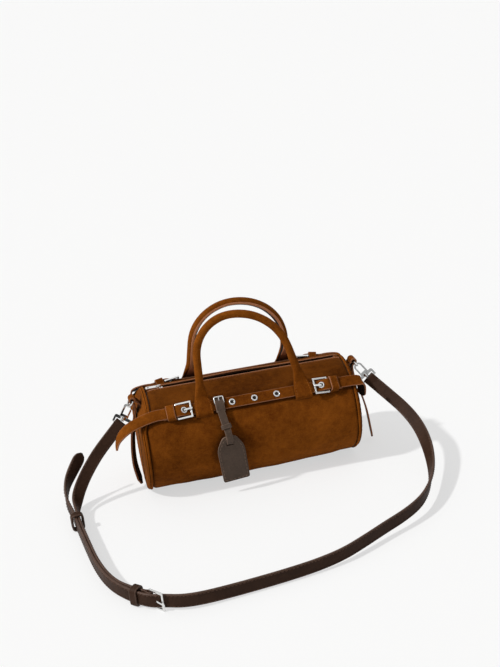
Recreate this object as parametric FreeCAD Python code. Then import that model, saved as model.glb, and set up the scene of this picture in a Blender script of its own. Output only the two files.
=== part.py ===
"""Suede barrel bag with belts, rolled handles, a hanging tag and a clip-on shoulder strap.

Millimetres. The origin is on the ground under the middle of the bag, +X runs along the
barrel to the right, +Y to the back and +Z up.
"""
import FreeCAD
import Part
import math
import os

V = FreeCAD.Vector
X_AXIS = V(1, 0, 0)
Y_AXIS = V(0, 1, 0)
Z_AXIS = V(0, 0, 1)

# Fits shared by every piece
overrun = 20.0
seat_gap = 0.2
soft_gap = 0.3
pivot_gap = 0.08

# Barrel body
body_length = 252.0
body_radius = 62.0
base_flat_depth = 1.5
panel_thickness = 2.4
welt_width = 3.0
end_depth = 5.5
end_round = 5.0
end_inner_round = 2.8
lining_thickness = 0.8
board_thickness = 1.6

# Zip along the top
zip_end_margin = 11.0
zip_slot_width = 9.0
tape_width = 7.0
tape_thickness = 0.8
chain_spine = 1.2
chain_reach = 2.0
chain_pitch = 3.6
chain_height = 1.8
chain_play = 0.2
half_pitch_share = 0.5
chain_end_margin = 6.0
stop_length = 2.4
slider_length = 9.0
slider_plate = 1.1
slider_lip = 0.9
slider_inset = 11.0
neck_length = 2.0
neck_width = 2.4
bridge_length = 4.4
bridge_width = 2.0
bridge_wall = 1.0
pull_bar_radius = 0.6
pull_length = 16.0
pull_width = 6.0
pull_thickness = 1.2
pull_arm = 3.4
pull_hole_radius = 1.3

# Belts sewn along the front and the back
belt_angle = 44.6
belt_width = 15.0
belt_thickness = 2.0
belt_end_reach = 2.0
base_strap_width = 14.0
base_strap_thickness = 1.2
base_strap_length = 20.0
eyelet_outer_radius = 4.4
eyelet_hole_radius = 2.3
eyelet_thickness = 0.7
eyelet_pitch_share = 0.225
eyelet_shift = 1.2

# Belt buckles, prongs and keepers
buckle_place_share = 83 / 126
buckle_length = 19.0
buckle_wire = 2.2
buckle_play = 0.5
prong_width = 2.0
prong_thickness = 1.5
prong_overhang = 1.6
prong_wall = 0.8
prong_slot_play = 0.4
keeper_offset = 15.0
keeper_width = 10.0
keeper_thickness = 1.5
trim_edge = 0.5

# Free belt tails: run-out, drop and swing from the end of the straight belt
long_tail_runs = (0, 19.5, 31.5, 37.5, 38.5)
long_tail_drops = (0, 6.0, 13.5, 21.5, 29.0)
long_tail_swings = (0, 4.0, 7.5, 9.5, 10.0)
curl_tail_runs = (0, 4.2, 6.8, 7.2, 7.0, 6.6)
curl_tail_drops = (0, 1.2, 4.8, 11.0, 18.0, 24.0)
curl_tail_swings = (0, 0, -0.5, -2.5, -5.0, -7.5)

# Rolled handles and their sewn tabs
handle_radius = 4.75
handle_span_share = 10 / 21
handle_rise = 87.0
handle_apex_inset = 14.9
front_leg_lean_shares = (0.03, 0.25)
rear_leg_lean_shares = (-0.04, 0.06)
front_apex_share = -0.11
tab_thickness = 2.0
tab_lower_width = 17.0
tab_upper_width = 11.0
tab_lip = 1.8
tab_flex_play = 1.1

# Ring tabs, D-rings and their hanging tails
ring_stand_off = 6.2
ring_rise_share = 52.5 / 62
ring_wire_radius = 1.2
ring_arch_radius = 10.0
ring_lean = 36.5
roll_radius = 4.0
roll_width = 13.0
tab_tail_thickness = 2.4
tab_tail_foot = 6.0
tab_tail_shares = (0, 0.20, 0.42, 0.62, 0.82, 1)
left_tail_sways = (-1.6, 0.5, 4.9, 7.5, 8.4, 6.8)
right_tail_sways = (-1.6, 0.5, 9.0, 14.9, 17.9, 20.5)

# Snap hooks on the rings
hook_yaw = 17.5
claw_inner_radius = 3.2
claw_wire = 2.2
claw_depth = 2.6
claw_leg = 8.2
hook_base = 3.0
gate_thickness = 1.9
gate_tip_gap = 0.4
post_radius = 1.4
post_length = 4.2
post_head_radius = 2.3
post_head_length = 1.2
hub_radius = 3.0
hub_length = 3.6
eye_wire = 2.4
eye_drop = 8.8
eye_play = 0.6

# Shoulder strap
strap_width = 15.0
strap_thickness = 2.8
strap_wrap = 1.4
strap_buckle_length = 18.0
strap_buckle_wire = 2.2
strap_buckle_centre = V(-158.0, -262.0, 10.5)
strap_buckle_heading = 136.0
strap_layer_gap = 0.4
strap_keeper_length = 8.0
strap_keeper_thickness = 1.4
strap_keeper_play = 0.5
fixed_keeper_slack = 1.0
fixed_keeper_offset = 24.0
strap_toe_shift = 1.5
corner_reach_share = 0.45
arc_steps = 3
right_clip_lean = V(0.83, 0, 0.50)
left_clip_lean = V(-0.83, 0.33, 0.44)

# Points of the long strap from the right clip, over the ground and back along the left piece
long_strap_route = (
    V(172.0, -30.0, 72.4), V(185.4, -52.0, 58.9), V(192.0, -76.0, 46.6), V(190.8, -104.0, 35.9),
    V(184.2, -132.0, 26.5), V(174.0, -157.0, 20.6), V(159.7, -179.0, 18.2), V(143.4, -197.0, 16.6),
    V(120.0, -212.0, 14.8), V(92.5, -224.5, 12.8), V(65.0, -238.5, 11.2), V(38.0, -251.5, 10.0),
    V(9.0, -259.5, 9.2), V(-23.0, -264.5, 8.8), V(-56.0, -268.5, 8.8), V(-88.0, -272.0, 9.2),
    V(-116.0, -274.5, 10.0), V(-136.0, -272.7, 10.5), V(-150.8, -266.1, 10.5),
    V(-167.9, -260.5, 10.5), V(-188.7, -237.6, 10.5), V(-202.4, -213.1, 10.5),
    V(-211.6, -179.1, 10.5), V(-217.2, -140.7, 10.5), V(-222.7, -98.4, 10.5),
    V(-226.7, -62.5, 10.7), V(-231.2, -47.0, 14.5), V(-232.0, -35.0, 22.5), V(-228.5, -25.5, 31.0),
    V(-221.8, -17.5, 39.8), V(-213.5, -10.0, 49.0), V(-206.0, -4.5, 58.0),
)

# Points of the short strap from the left clip down to its buckle
short_strap_route = (
    V(-181.6, -16.0, 66.0), V(-197.0, -20.5, 49.0), V(-209.5, -27.0, 33.5), V(-219.3, -39.0, 19.8),
    V(-223.5, -62.0, 10.8), V(-219.5, -98.0, 10.5), V(-214.0, -140.2, 10.5),
    V(-208.5, -178.5, 10.5), V(-199.5, -211.7, 10.5), V(-186.4, -235.4, 10.5),
)

# Width directions of the straps: one per route point from the clip on, upright where not given
long_strap_leans = (
    V(0.83, 0, 0.49), V(0.83, 0, 0.49), V(0.80, 0, 0.55), V(0.68, 0, 0.68), V(0.50, 0, 0.84),
    V(0.30, 0, 0.95), V(0.15, 0, 1),
)
long_strap_tail_leans = (V(-0.25, 0.10, 0.96), V(-0.50, 0.25, 0.80), V(-0.60, 0.30, 0.72))
short_strap_leans = (
    V(-0.76, 0.34, 0.54), V(-0.76, 0.34, 0.54), V(-0.80, 0.25, 0.52), V(-0.72, 0.10, 0.68),
)

# Hanging tag
tag_place_share = 41 / 120
tag_strap_width = 8.0
tag_strap_thickness = 1.4
tag_loop_thickness = 0.8
tag_buckle_wire = 1.6
tag_buckle_length = 10.0
tag_flex_margin = 1.0
tag_panel_height = 57.0
tag_panel_width = 31.0
tag_panel_neck = 13.0
tag_panel_shoulder = 15.0
tag_panel_foot = 28.0
tag_panel_thickness = 2.4
tag_panel_top = 75.0
tag_panel_stand = 4.6
tag_panel_shift = 6.0
tag_slot_drop = 7.5
tag_slot_height = 4.0
tag_keeper_height = 5.0
tag_keeper_share = 0.62

# Places worked out from the sizes above
half_length = body_length / 2
axis_height = body_radius - base_flat_depth
inner_radius = body_radius - panel_thickness
axis_centre = V(0, 0, axis_height)
zip_length = body_length - 2 * zip_end_margin
slider_rest = slider_inset - zip_length / 2
belt_straight_end = half_length + belt_end_reach
buckle_place = half_length * buckle_place_share
keeper_place = buckle_place + keeper_offset
handle_span = body_length * handle_span_share
eyelet_pitch = handle_span * eyelet_pitch_share
tag_place = -handle_span * tag_place_share
ring_height = axis_height + body_radius * ring_rise_share

nodes = {}


def keep(name, shape):
    """Store one finished sub-part under its node name."""
    nodes[name] = shape


def block(low, high):
    """Box between two corners."""
    return Part.makeBox(high.x - low.x, high.y - low.y, high.z - low.z, low)


def polygon(points):
    """Flat face inside a closed run of points."""
    return Part.Face(Part.makePolygon(list(points) + [points[0]]))


def join(shapes):
    """Fuse touching solids into one clean solid."""
    return shapes[0].multiFuse(shapes[1:]).removeSplitter()


def mirrored(shape):
    """The same piece on the other end of the bag."""
    return shape.mirror(V(0, 0, 0), X_AXIS)


def turned_to_back(shape):
    """The same piece on the back of the bag, by half a turn about the upright axis."""
    copy = shape.copy()
    copy.rotate(V(0, 0, 0), Z_AXIS, 180)
    return copy


def frame_at(origin, x_dir, y_dir, z_dir):
    """Placement whose own axes point along three square directions."""
    matrix = FreeCAD.Matrix(
        x_dir.x, y_dir.x, z_dir.x, origin.x,
        x_dir.y, y_dir.y, z_dir.y, origin.y,
        x_dir.z, y_dir.z, z_dir.z, origin.z,
        0, 0, 0, 1)
    return FreeCAD.Placement(matrix)


def placed(shape, placement):
    """Copy of a piece moved from its own frame into the bag's frame."""
    copy = shape.copy()
    copy.Placement = placement.multiply(copy.Placement)
    return copy


def unit(vector):
    """The same direction with length one."""
    return vector * (1 / vector.Length)


def square_to(vector, direction):
    """Part of a vector that is square to a unit direction, with length one."""
    return unit(vector - direction * vector.dot(direction))


def ring_profile(radius, floor, x):
    """Face of the barrel's cross-section at x, round with a flat foot at the given height."""
    half = math.sqrt(radius ** 2 - (axis_height - floor) ** 2)
    front = V(x, -half, floor)
    back = V(x, half, floor)
    arc = Part.Arc(front, V(x, 0, axis_height + radius), back).toShape()
    return Part.Face(Part.Wire([arc, Part.makeLine(back, front)]))


def barrel(radius, floor, low_x, high_x):
    """Solid barrel with a flat foot between two places along X."""
    return ring_profile(radius, floor, low_x).extrude(V(high_x - low_x, 0, 0))


def on_belt(shape):
    """Move a piece from the flat belt frame (x, across, away from the axis) to the front."""
    copy = shape.copy()
    copy.rotate(V(0, 0, 0), X_AXIS, belt_angle)
    copy.translate(axis_centre)
    return copy


def belt_point(x, across, out):
    """A point of the flat belt frame in the bag's frame."""
    turn = FreeCAD.Rotation(X_AXIS, belt_angle)
    return turn.multVec(V(x, across, out)) + axis_centre


def belt_direction(x, across, out):
    """A direction of the flat belt frame in the bag's frame."""
    return FreeCAD.Rotation(X_AXIS, belt_angle).multVec(V(x, across, out))


def ribbon(stations, width, thickness):
    """Flat strap through stations of (centre, width direction, face direction)."""
    wires = []
    for centre, across, face in stations:
        side = across * (width / 2)
        skin = face * (thickness / 2)
        corners = [centre - side - skin, centre + side - skin, centre + side + skin, centre - side + skin]
        wires.append(Part.makePolygon(corners + [corners[0]]))
    return Part.makeLoft(wires, True, True)


def ribbon_stations(places, tangents, start_across, end_across):
    """Stations whose width direction turns evenly from the first to the last one given."""
    stations = []
    for index, place in enumerate(places):
        share = index / (len(places) - 1)
        across = square_to(start_across * (1 - share) + end_across * share, tangents[index])
        stations.append((place, across, unit(tangents[index].cross(across))))
    return stations


# Body: panel, ends, welts, lining and base board

def below_ground(shape):
    """Take away what would reach under the flat foot."""
    reach = body_length + overrun
    return shape.cut(block(V(-reach, -reach, -reach), V(reach, reach, 0)))


def make_body_panel():
    end_x = half_length - welt_width
    shell = barrel(body_radius, 0, -end_x, end_x)
    shell = shell.cut(barrel(inner_radius, panel_thickness, -end_x - overrun, end_x + overrun))
    slot = block(V(-zip_length / 2, -zip_slot_width / 2, axis_height),
                 V(zip_length / 2, zip_slot_width / 2, axis_height + body_radius + overrun))
    return shell.cut(slot)


def end_cap(radius, depth, rounding):
    """Round pillow that stands on the end plane, with a rounded rim."""
    cap = Part.makeCylinder(radius, depth, V(half_length, 0, axis_height), X_AXIS)
    rim = [edge for edge in cap.Edges if edge.BoundBox.XMin > half_length + depth / 2]
    return cap.makeFillet(rounding, rim)


def make_end_panel():
    outer = end_cap(body_radius, end_depth, end_round)
    inner = end_cap(inner_radius, end_depth - panel_thickness, end_inner_round)
    return below_ground(outer.cut(inner))


def make_welt():
    low_x = half_length - welt_width
    bead = V(half_length - welt_width / 2, 0, axis_height + body_radius + welt_width / 2)
    inside_low = V(low_x, 0, axis_height + inner_radius)
    inside_high = V(half_length, 0, axis_height + inner_radius)
    outside_high = V(half_length, 0, axis_height + body_radius)
    outside_low = V(low_x, 0, axis_height + body_radius)
    edges = [Part.makeLine(inside_low, inside_high), Part.makeLine(inside_high, outside_high),
             Part.Arc(outside_high, bead, outside_low).toShape(), Part.makeLine(outside_low, inside_low)]
    ring = Part.Face(Part.Wire(edges)).revolve(axis_centre, X_AXIS, 360)
    return below_ground(ring)


lining_radius = inner_radius - seat_gap
lining_floor = panel_thickness + seat_gap
tape_inner_y = chain_spine + chain_reach / 2
tape_outer_y = tape_inner_y + tape_width


def make_lining():
    end_x = half_length - seat_gap
    skin = lining_thickness
    shell = barrel(lining_radius, lining_floor, -end_x, end_x)
    shell = shell.cut(barrel(lining_radius - skin, lining_floor + skin, -end_x + skin, end_x - skin))
    mouth_x = zip_length / 2 + chain_end_margin + seat_gap
    mouth_y = tape_outer_y + seat_gap
    mouth = block(V(-mouth_x, -mouth_y, axis_height), V(mouth_x, mouth_y, axis_height + body_radius))
    return shell.cut(mouth)


def make_base_board():
    floor = lining_floor + lining_thickness
    clear_radius = lining_radius - lining_thickness - seat_gap
    half_width = math.sqrt(clear_radius ** 2 - (axis_height - floor) ** 2) - seat_gap
    end_x = half_length - seat_gap - lining_thickness - welt_width
    return block(V(-end_x, -half_width, floor), V(end_x, half_width, floor + board_thickness))


body_panel = make_body_panel()
end_panel = make_end_panel()
welt = make_welt()
keep("body_panel", body_panel)
keep("end_panel_right", end_panel)
keep("end_panel_left", mirrored(end_panel))
keep("piping_right", welt)
keep("piping_left", mirrored(welt))
keep("lining", make_lining())
keep("base_board", make_base_board())


# Zip: tapes, tooth chains, slider and pull

tape_top = axis_height + math.sqrt(lining_radius ** 2 - tape_inner_y ** 2)
chain_middle = tape_top - tape_thickness / 2
chain_top = chain_middle + chain_height / 2
chain_bottom = chain_middle - chain_height / 2
zip_end = zip_length / 2 + chain_end_margin
chain_first = slider_rest - slider_length / 2 + neck_length + soft_gap
chain_last = zip_length / 2 - chain_end_margin


def make_tape():
    """Front tape, curved like the panel that it is sewn under."""
    band = barrel(lining_radius, lining_floor, -zip_end, zip_end)
    band = band.cut(barrel(lining_radius - tape_thickness, lining_floor + tape_thickness,
                           -zip_end - overrun, zip_end + overrun))
    return band.common(block(V(-zip_end, -tape_outer_y, axis_height),
                             V(zip_end, -tape_inner_y, axis_height + body_radius)))


def make_chain(phase):
    """Front tooth chain: a spine along the tape with teeth past the middle, and an end stop."""
    spine_out = -tape_inner_y
    spine_in = -chain_reach / 2
    tip = chain_reach / 2 - chain_play
    tooth = chain_pitch / 2 - 2 * chain_play
    outline = [V(chain_first, spine_in, chain_bottom), V(chain_first, spine_out, chain_bottom),
               V(chain_last, spine_out, chain_bottom), V(chain_last, spine_in, chain_bottom)]
    count = int((chain_last - chain_first) / chain_pitch) - 1
    for index in range(count, -1, -1):
        low = chain_first + chain_play + (index + phase) * chain_pitch
        high = low + tooth
        outline.append(V(high, spine_in, chain_bottom))
        outline.append(V(high, tip, chain_bottom))
        outline.append(V(low, tip, chain_bottom))
        outline.append(V(low, spine_in, chain_bottom))
    teeth = polygon(outline).extrude(V(0, 0, chain_height))
    stops = [teeth]
    for low_x in (chain_last + soft_gap, -zip_length / 2 + chain_play):
        stops.append(block(V(low_x, spine_out, chain_bottom),
                           V(low_x + stop_length, -chain_play, chain_top)))
    return Part.makeCompound(stops)


slider_half = zip_slot_width / 2 - soft_gap
slider_top = chain_top + soft_gap + slider_plate
pull_axis_z = max(axis_height + body_radius + soft_gap + pull_thickness / 2,
                  slider_top + soft_gap + pull_bar_radius)


def make_slider():
    low_x = slider_rest - slider_length / 2
    high_x = slider_rest + slider_length / 2
    plate_gap = soft_gap + slider_plate
    upper = block(V(low_x, -slider_half, chain_top + soft_gap), V(high_x, slider_half, slider_top))
    lower = block(V(low_x, -slider_half, chain_bottom - plate_gap),
                  V(high_x, slider_half, chain_bottom - soft_gap))
    neck = block(V(low_x, -neck_width / 2, chain_bottom - plate_gap),
                 V(low_x + neck_length, neck_width / 2, slider_top))
    pieces = [upper, lower, neck]
    tape_bottom = tape_top - tape_thickness
    for side in (-1, 1):
        near = side * (slider_half - slider_lip)
        far = side * slider_half
        pieces.append(block(V(low_x, min(near, far), tape_top + soft_gap),
                            V(high_x, max(near, far), slider_top)))
        pieces.append(block(V(low_x, min(near, far), chain_bottom - plate_gap),
                            V(high_x, max(near, far), tape_bottom - 2 * soft_gap)))
    bridge_top = pull_axis_z + pull_bar_radius + pivot_gap + bridge_wall
    bridge = block(V(slider_rest - bridge_length / 2, -bridge_width / 2, slider_top),
                   V(slider_rest + bridge_length / 2, bridge_width / 2, bridge_top))
    inside = block(V(slider_rest - bridge_length / 2 + bridge_wall, -bridge_width, slider_top),
                   V(slider_rest + bridge_length / 2 - bridge_wall, bridge_width, bridge_top - bridge_wall))
    pieces.append(bridge.cut(inside))
    return join(pieces)


def make_pull():
    arm_y = bridge_width / 2 + soft_gap
    bar_low = V(slider_rest, -pull_width / 2, pull_axis_z)
    bar = Part.makeCylinder(pull_bar_radius, pull_width, bar_low, Y_AXIS)
    low_z = pull_axis_z - pull_thickness / 2
    high_z = pull_axis_z + pull_thickness / 2
    far_x = slider_rest - pull_length
    plate = block(V(far_x, -pull_width / 2, low_z), V(slider_rest, pull_width / 2, high_z))
    window = block(V(slider_rest - pull_arm, -arm_y, low_z - overrun),
                   V(slider_rest + overrun, arm_y, high_z + overrun))
    hole_x = far_x + pull_width / 2
    hole = Part.makeCylinder(pull_hole_radius, overrun, V(hole_x, 0, low_z - overrun / 2), Z_AXIS)
    plate = plate.cut(window).cut(hole)
    corners = [edge for edge in plate.Edges
               if abs(edge.tangentAt(edge.FirstParameter).z) == 1 and edge.CenterOfMass.x < hole_x]
    plate = plate.makeFillet(pull_width / 2 - trim_edge, corners)
    return join([plate, bar])


tape = make_tape()
keep("zip_tape_front", tape)
keep("zip_tape_rear", turned_to_back(tape))
keep("zip_chain_front", make_chain(0))
rear_chain = make_chain(half_pitch_share).mirror(V(0, 0, 0), Y_AXIS)
keep("zip_chain_rear", rear_chain)
keep("zip_slider", make_slider())
keep("zip_pull", make_pull())


# Belt layers, counted outward from the barrel's axis

base_low = body_radius + seat_gap
base_high = base_low + base_strap_thickness
belt_low = base_high + seat_gap
belt_high = belt_low + belt_thickness
heel_radius = buckle_wire / 2
heel_out = base_high + pivot_gap + heel_radius
wrap_inner = heel_radius + pivot_gap
wrap_outer = wrap_inner + base_strap_thickness
belt_over_heel = heel_out + wrap_outer + seat_gap
heel_x = buckle_place + buckle_length / 2 - heel_radius
toe_x = buckle_place - buckle_length / 2 + heel_radius
toe_out = belt_high + seat_gap + buckle_wire / 2
buckle_half = belt_width / 2 + buckle_play + buckle_wire
prong_tip_x = toe_x - prong_overhang
prong_rise = toe_out + buckle_wire / 2 + prong_thickness / 2 + 2 * soft_gap - heel_out
prong_pitch = math.degrees(math.atan2(prong_rise, heel_x - toe_x))
climb_start = toe_x + buckle_wire
climb_end = heel_x - wrap_outer
fall_start = heel_x + wrap_outer / 2
fall_end = keeper_place + keeper_width
keeper_low_x = keeper_place - keeper_width / 2
fall_share = (keeper_low_x - fall_start) / (fall_end - fall_start)
keeper_out = belt_over_heel + belt_thickness + soft_gap - fall_share * (belt_over_heel - belt_low)
ear_low = math.sqrt(body_radius ** 2 - (belt_width / 2) ** 2) + soft_gap
belt_tail_out = belt_low + belt_thickness / 2


def tail_places(side, runs, drops, swings):
    """Centre points of a free belt tail past the end of the straight belt."""
    start = belt_point(side * belt_straight_end, 0, belt_tail_out)
    return [start + V(side * run, -swing, -drop) for run, drop, swing in zip(runs, drops, swings)]


def belt_tail(side, runs, drops, swings):
    """Free end of a belt that droops past the end of the bag."""
    places = tail_places(side, runs, drops, swings)
    tangents = [V(side, 0, 0)]
    for index in range(1, len(places) - 1):
        tangents.append(unit(places[index + 1] - places[index - 1]))
    tangents.append(unit(places[-1] - places[-2]))
    stations = ribbon_stations(places, tangents, belt_direction(0, 1, 0), Y_AXIS)
    return ribbon(stations, belt_width, belt_thickness)


def make_belt(left_tail, right_tail):
    """Front belt: flat over the middle, over both buckle bars, and out into two free tails."""
    knees = ((belt_straight_end, belt_low), (fall_end, belt_low), (fall_start, belt_over_heel),
             (climb_end, belt_over_heel), (climb_start, belt_low))
    lower = [V(-x, 0, out) for x, out in knees] + [V(x, 0, out) for x, out in reversed(knees)]
    upper = [point + V(0, 0, belt_thickness) for point in reversed(lower)]
    strip = polygon(lower + upper).extrude(V(0, belt_width, 0))
    strip.translate(V(0, -belt_width / 2, 0))
    slot_half = prong_width / 2 + prong_slot_play
    for side in (-1, 1):
        ends = (side * (climb_start + buckle_wire), side * (heel_x - heel_radius))
        strip = strip.cut(block(V(min(ends), -slot_half, body_radius),
                                V(max(ends), slot_half, body_radius + overrun)))
    for index in (-1, 0, 1):
        strip = strip.cut(Part.makeCylinder(
            eyelet_hole_radius, overrun, V(eyelet_shift + index * eyelet_pitch, 0, body_radius), Z_AXIS))
    pieces = [on_belt(strip)]
    pieces.append(belt_tail(-1, *left_tail))
    pieces.append(belt_tail(1, *right_tail))
    return join(pieces)


def washer(x, out):
    """Metal eyelet ring with sloped rims that lies on the belt."""
    low = out
    high = out + eyelet_thickness
    slope = eyelet_thickness / 2
    near = x + eyelet_hole_radius
    far = x + eyelet_outer_radius
    profile = polygon([V(near, 0, low), V(far, 0, low), V(far - slope, 0, high), V(near + slope, 0, high)])
    return profile.revolve(V(x, 0, 0), Z_AXIS, 360)


def make_eyelets():
    """Eyelets of the front belt: bare ones in the middle and one at each prong."""
    rings = [washer(eyelet_shift + index * eyelet_pitch, belt_high) for index in (-1, 0, 1)]
    slope = math.degrees(math.atan2(belt_over_heel - belt_low, climb_end - climb_start))
    middle_x = (climb_start + climb_end) / 2
    middle_out = (belt_low + belt_over_heel) / 2 + belt_thickness / math.cos(math.radians(slope))
    for side in (-1, 1):
        ring = washer(0, 0)
        ring = ring.cut(block(V(-overrun, -prong_width / 2 - prong_slot_play, -overrun),
                              V(overrun, prong_width / 2 + prong_slot_play, overrun)))
        ring.rotate(V(0, 0, 0), Y_AXIS, -slope)
        ring.translate(V(middle_x, 0, middle_out))
        rings.append(ring if side > 0 else mirrored(ring))
    return Part.makeCompound([on_belt(ring) for ring in rings])


def make_buckle():
    """Right front belt buckle: a flat square frame whose heel is a round bar."""
    length = heel_x - toe_x
    frame = block(V(-length - heel_radius, -buckle_half, -heel_radius), V(0, buckle_half, heel_radius))
    window = block(V(-length + heel_radius, -buckle_half + buckle_wire, -overrun),
                   V(overrun, buckle_half - buckle_wire, overrun))
    frame = frame.cut(window)
    sharp = [edge for edge in frame.Edges if edge.CenterOfMass.x < -trim_edge]
    frame = frame.makeFillet(trim_edge, sharp)
    bar = Part.makeCylinder(heel_radius, 2 * buckle_half, V(0, -buckle_half, 0), Y_AXIS)
    frame = join([frame, bar])
    tilt = math.degrees(math.atan2(toe_out - heel_out, length))
    frame.rotate(V(0, 0, 0), Y_AXIS, tilt)
    frame.translate(V(heel_x, 0, heel_out))
    return frame


def make_prong():
    """Right front prong: a sleeve round the heel bar and a tongue to the toe of the frame."""
    sleeve_outer = heel_radius + pivot_gap + prong_wall
    length = (heel_x - prong_tip_x) / math.cos(math.radians(prong_pitch))
    sleeve = Part.makeCylinder(sleeve_outer, prong_width, V(0, -prong_width / 2, 0), Y_AXIS)
    tongue = block(V(-length, -prong_width / 2, -prong_thickness / 2),
                   V(0, prong_width / 2, prong_thickness / 2))
    tip = [edge for edge in tongue.Edges
           if edge.CenterOfMass.x < trim_edge - length and edge.CenterOfMass.z > 0]
    tongue = tongue.makeFillet(prong_thickness / 2, tip)
    prong = join([sleeve, tongue])
    prong = prong.cut(Part.makeCylinder(heel_radius + pivot_gap, overrun, V(0, -overrun / 2, 0), Y_AXIS))
    prong.rotate(V(0, 0, 0), Y_AXIS, prong_pitch)
    prong.translate(V(heel_x, 0, heel_out))
    return prong


def make_buckle_base():
    """Short strap sewn to the bag that wraps the heel bar of the right front buckle."""
    half = base_strap_width / 2
    lower = block(V(heel_x, -half, base_low), V(heel_x + base_strap_length, half, base_high))
    upper = block(V(heel_x, -half, heel_out + wrap_inner),
                  V(fall_start + seat_gap, half, heel_out + wrap_outer))
    axis_low = V(heel_x, -half, heel_out)
    shell = Part.makeCylinder(wrap_outer, base_strap_width, axis_low, Y_AXIS)
    shell = shell.cut(Part.makeCylinder(wrap_inner, base_strap_width, axis_low, Y_AXIS))
    reach = wrap_outer + overrun
    shell = shell.cut(block(V(heel_x, -reach, heel_out - reach),
                            V(heel_x + reach, reach, heel_out + reach)))
    strap = join([lower, upper, shell])
    gap = prong_width / 2 + prong_slot_play
    return strap.cut(block(V(heel_x - reach, -gap, base_low - overrun),
                           V(heel_x + wrap_outer, gap, heel_out + reach)))


def staple(low_x, high_x, inner_half, low, inner_top, thickness):
    """Band that bridges a strap, with both ends on the bag."""
    outer_half = inner_half + thickness
    outside = block(V(low_x, -outer_half, low), V(high_x, outer_half, inner_top + thickness))
    outside = outside.makeFillet(thickness, [edge for edge in outside.Edges
                                             if abs(edge.tangentAt(edge.FirstParameter).x) == 1
                                             and edge.CenterOfMass.z > inner_top])
    inside = block(V(low_x - overrun, -inner_half, low - overrun),
                   V(high_x + overrun, inner_half, inner_top))
    return outside.cut(inside)


def make_keeper():
    return staple(keeper_low_x, keeper_place + keeper_width / 2, belt_width / 2 + soft_gap,
                  ear_low, keeper_out, keeper_thickness)


tab_rim = belt_width / 2 + soft_gap + tab_lip
tab_top = belt_high + seat_gap + tab_thickness
flex_across = tab_rim + handle_radius + soft_gap + tab_flex_play
flex_out = tab_top + tab_flex_play


def make_handle_tab():
    """Right front tab: a flared flap over the belt, sewn down on both sides, with a cup for the handle."""
    under = belt_high + seat_gap
    centre = handle_span / 2
    inner = belt_width / 2 + soft_gap
    lower_half = tab_lower_width / 2
    upper_half = tab_upper_width / 2
    corners = ((-lower_half, -tab_rim), (lower_half, -tab_rim),
               (upper_half, tab_rim), (-upper_half, tab_rim))
    flap = polygon([V(centre + half, across, inner_radius) for half, across in corners])
    flap = flap.extrude(V(0, 0, tab_top - inner_radius))
    flap = flap.cut(block(V(0, -inner, 0), V(body_length, inner, under)))
    cup = block(V(centre - upper_half, inner, inner_radius),
                V(centre + upper_half, flex_across + tab_lip, belt_high - trim_edge))
    tab = join([flap, cup])
    tab = tab.cut(Part.makeCylinder(body_radius + seat_gap, body_length, V(0, 0, 0), X_AXIS))
    cup_axis = V(0, flex_across, flex_out)
    return tab.cut(Part.makeCylinder(handle_radius + soft_gap, body_length, cup_axis, X_AXIS))


long_tail = (long_tail_runs, long_tail_drops, long_tail_swings)
curl_tail = (curl_tail_runs, curl_tail_drops, curl_tail_swings)
eyelets = make_eyelets()
keep("front_belt", make_belt(long_tail, curl_tail))
keep("rear_belt", turned_to_back(make_belt(curl_tail, curl_tail)))
keep("front_belt_eyelets", eyelets)
keep("rear_belt_eyelets", turned_to_back(eyelets))
belt_pieces = (("buckle", make_buckle()), ("prong", make_prong()), ("buckle_base", make_buckle_base()),
               ("belt_keeper", make_keeper()), ("handle_tab", make_handle_tab()))
for name, flat in belt_pieces:
    right = on_belt(flat)
    left = mirrored(right)
    keep(name + "_front_right", right)
    keep(name + "_front_left", left)
    keep(name + "_rear_left", turned_to_back(right))
    keep(name + "_rear_right", turned_to_back(left))


# Handles: two legs and an arch of two arcs that meet at its top, in one leaning plane

handle_foot = belt_point(0, flex_across, flex_out)


def make_handle(left_lean, right_lean, apex_u):
    """Front handle, rolled round a cord, with ball ends in the folds of its tabs."""
    half_span = handle_span / 2
    left_slant = math.hypot(1, left_lean)
    right_slant = math.hypot(1, right_lean)
    left_v = (handle_rise * left_slant - apex_u - half_span) / (left_slant - left_lean)
    right_v = (handle_rise * right_slant + apex_u - half_span) / (right_slant - right_lean)
    up = unit(V(0, handle_apex_inset, math.sqrt(handle_rise ** 2 - handle_apex_inset ** 2)))

    def at(u, v):
        return handle_foot + X_AXIS * u + up * v

    def on_arc(side, middle_v, turn):
        radius = handle_rise - middle_v
        return at(apex_u + side * radius * math.cos(turn), middle_v + radius * math.sin(turn))

    left_turn = math.atan(left_lean)
    right_turn = math.atan(right_lean)
    top_turn = math.pi / 2
    left_foot = at(-half_span, 0)
    right_foot = at(half_span, 0)
    left_touch = on_arc(-1, left_v, left_turn)
    right_touch = on_arc(1, right_v, right_turn)
    apex = at(apex_u, handle_rise)
    path = Part.Wire([
        Part.makeLine(left_foot, left_touch),
        Part.Arc(left_touch, on_arc(-1, left_v, (left_turn + top_turn) / 2), apex).toShape(),
        Part.Arc(apex, on_arc(1, right_v, (right_turn + top_turn) / 2), right_touch).toShape(),
        Part.makeLine(right_touch, right_foot)])
    section = Part.Wire([Part.makeCircle(handle_radius, left_foot, unit(left_touch - left_foot))])
    tube = path.makePipeShell([section], True, False)
    balls = [Part.makeSphere(handle_radius, foot) for foot in (left_foot, right_foot)]
    return join([tube] + balls)


front_apex = front_apex_share * handle_span
keep("front_handle", make_handle(*front_leg_lean_shares, front_apex))
keep("rear_handle", turned_to_back(make_handle(*rear_leg_lean_shares, 0)))


# Ring tabs, D-rings and snap hooks, built at the right end

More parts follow.
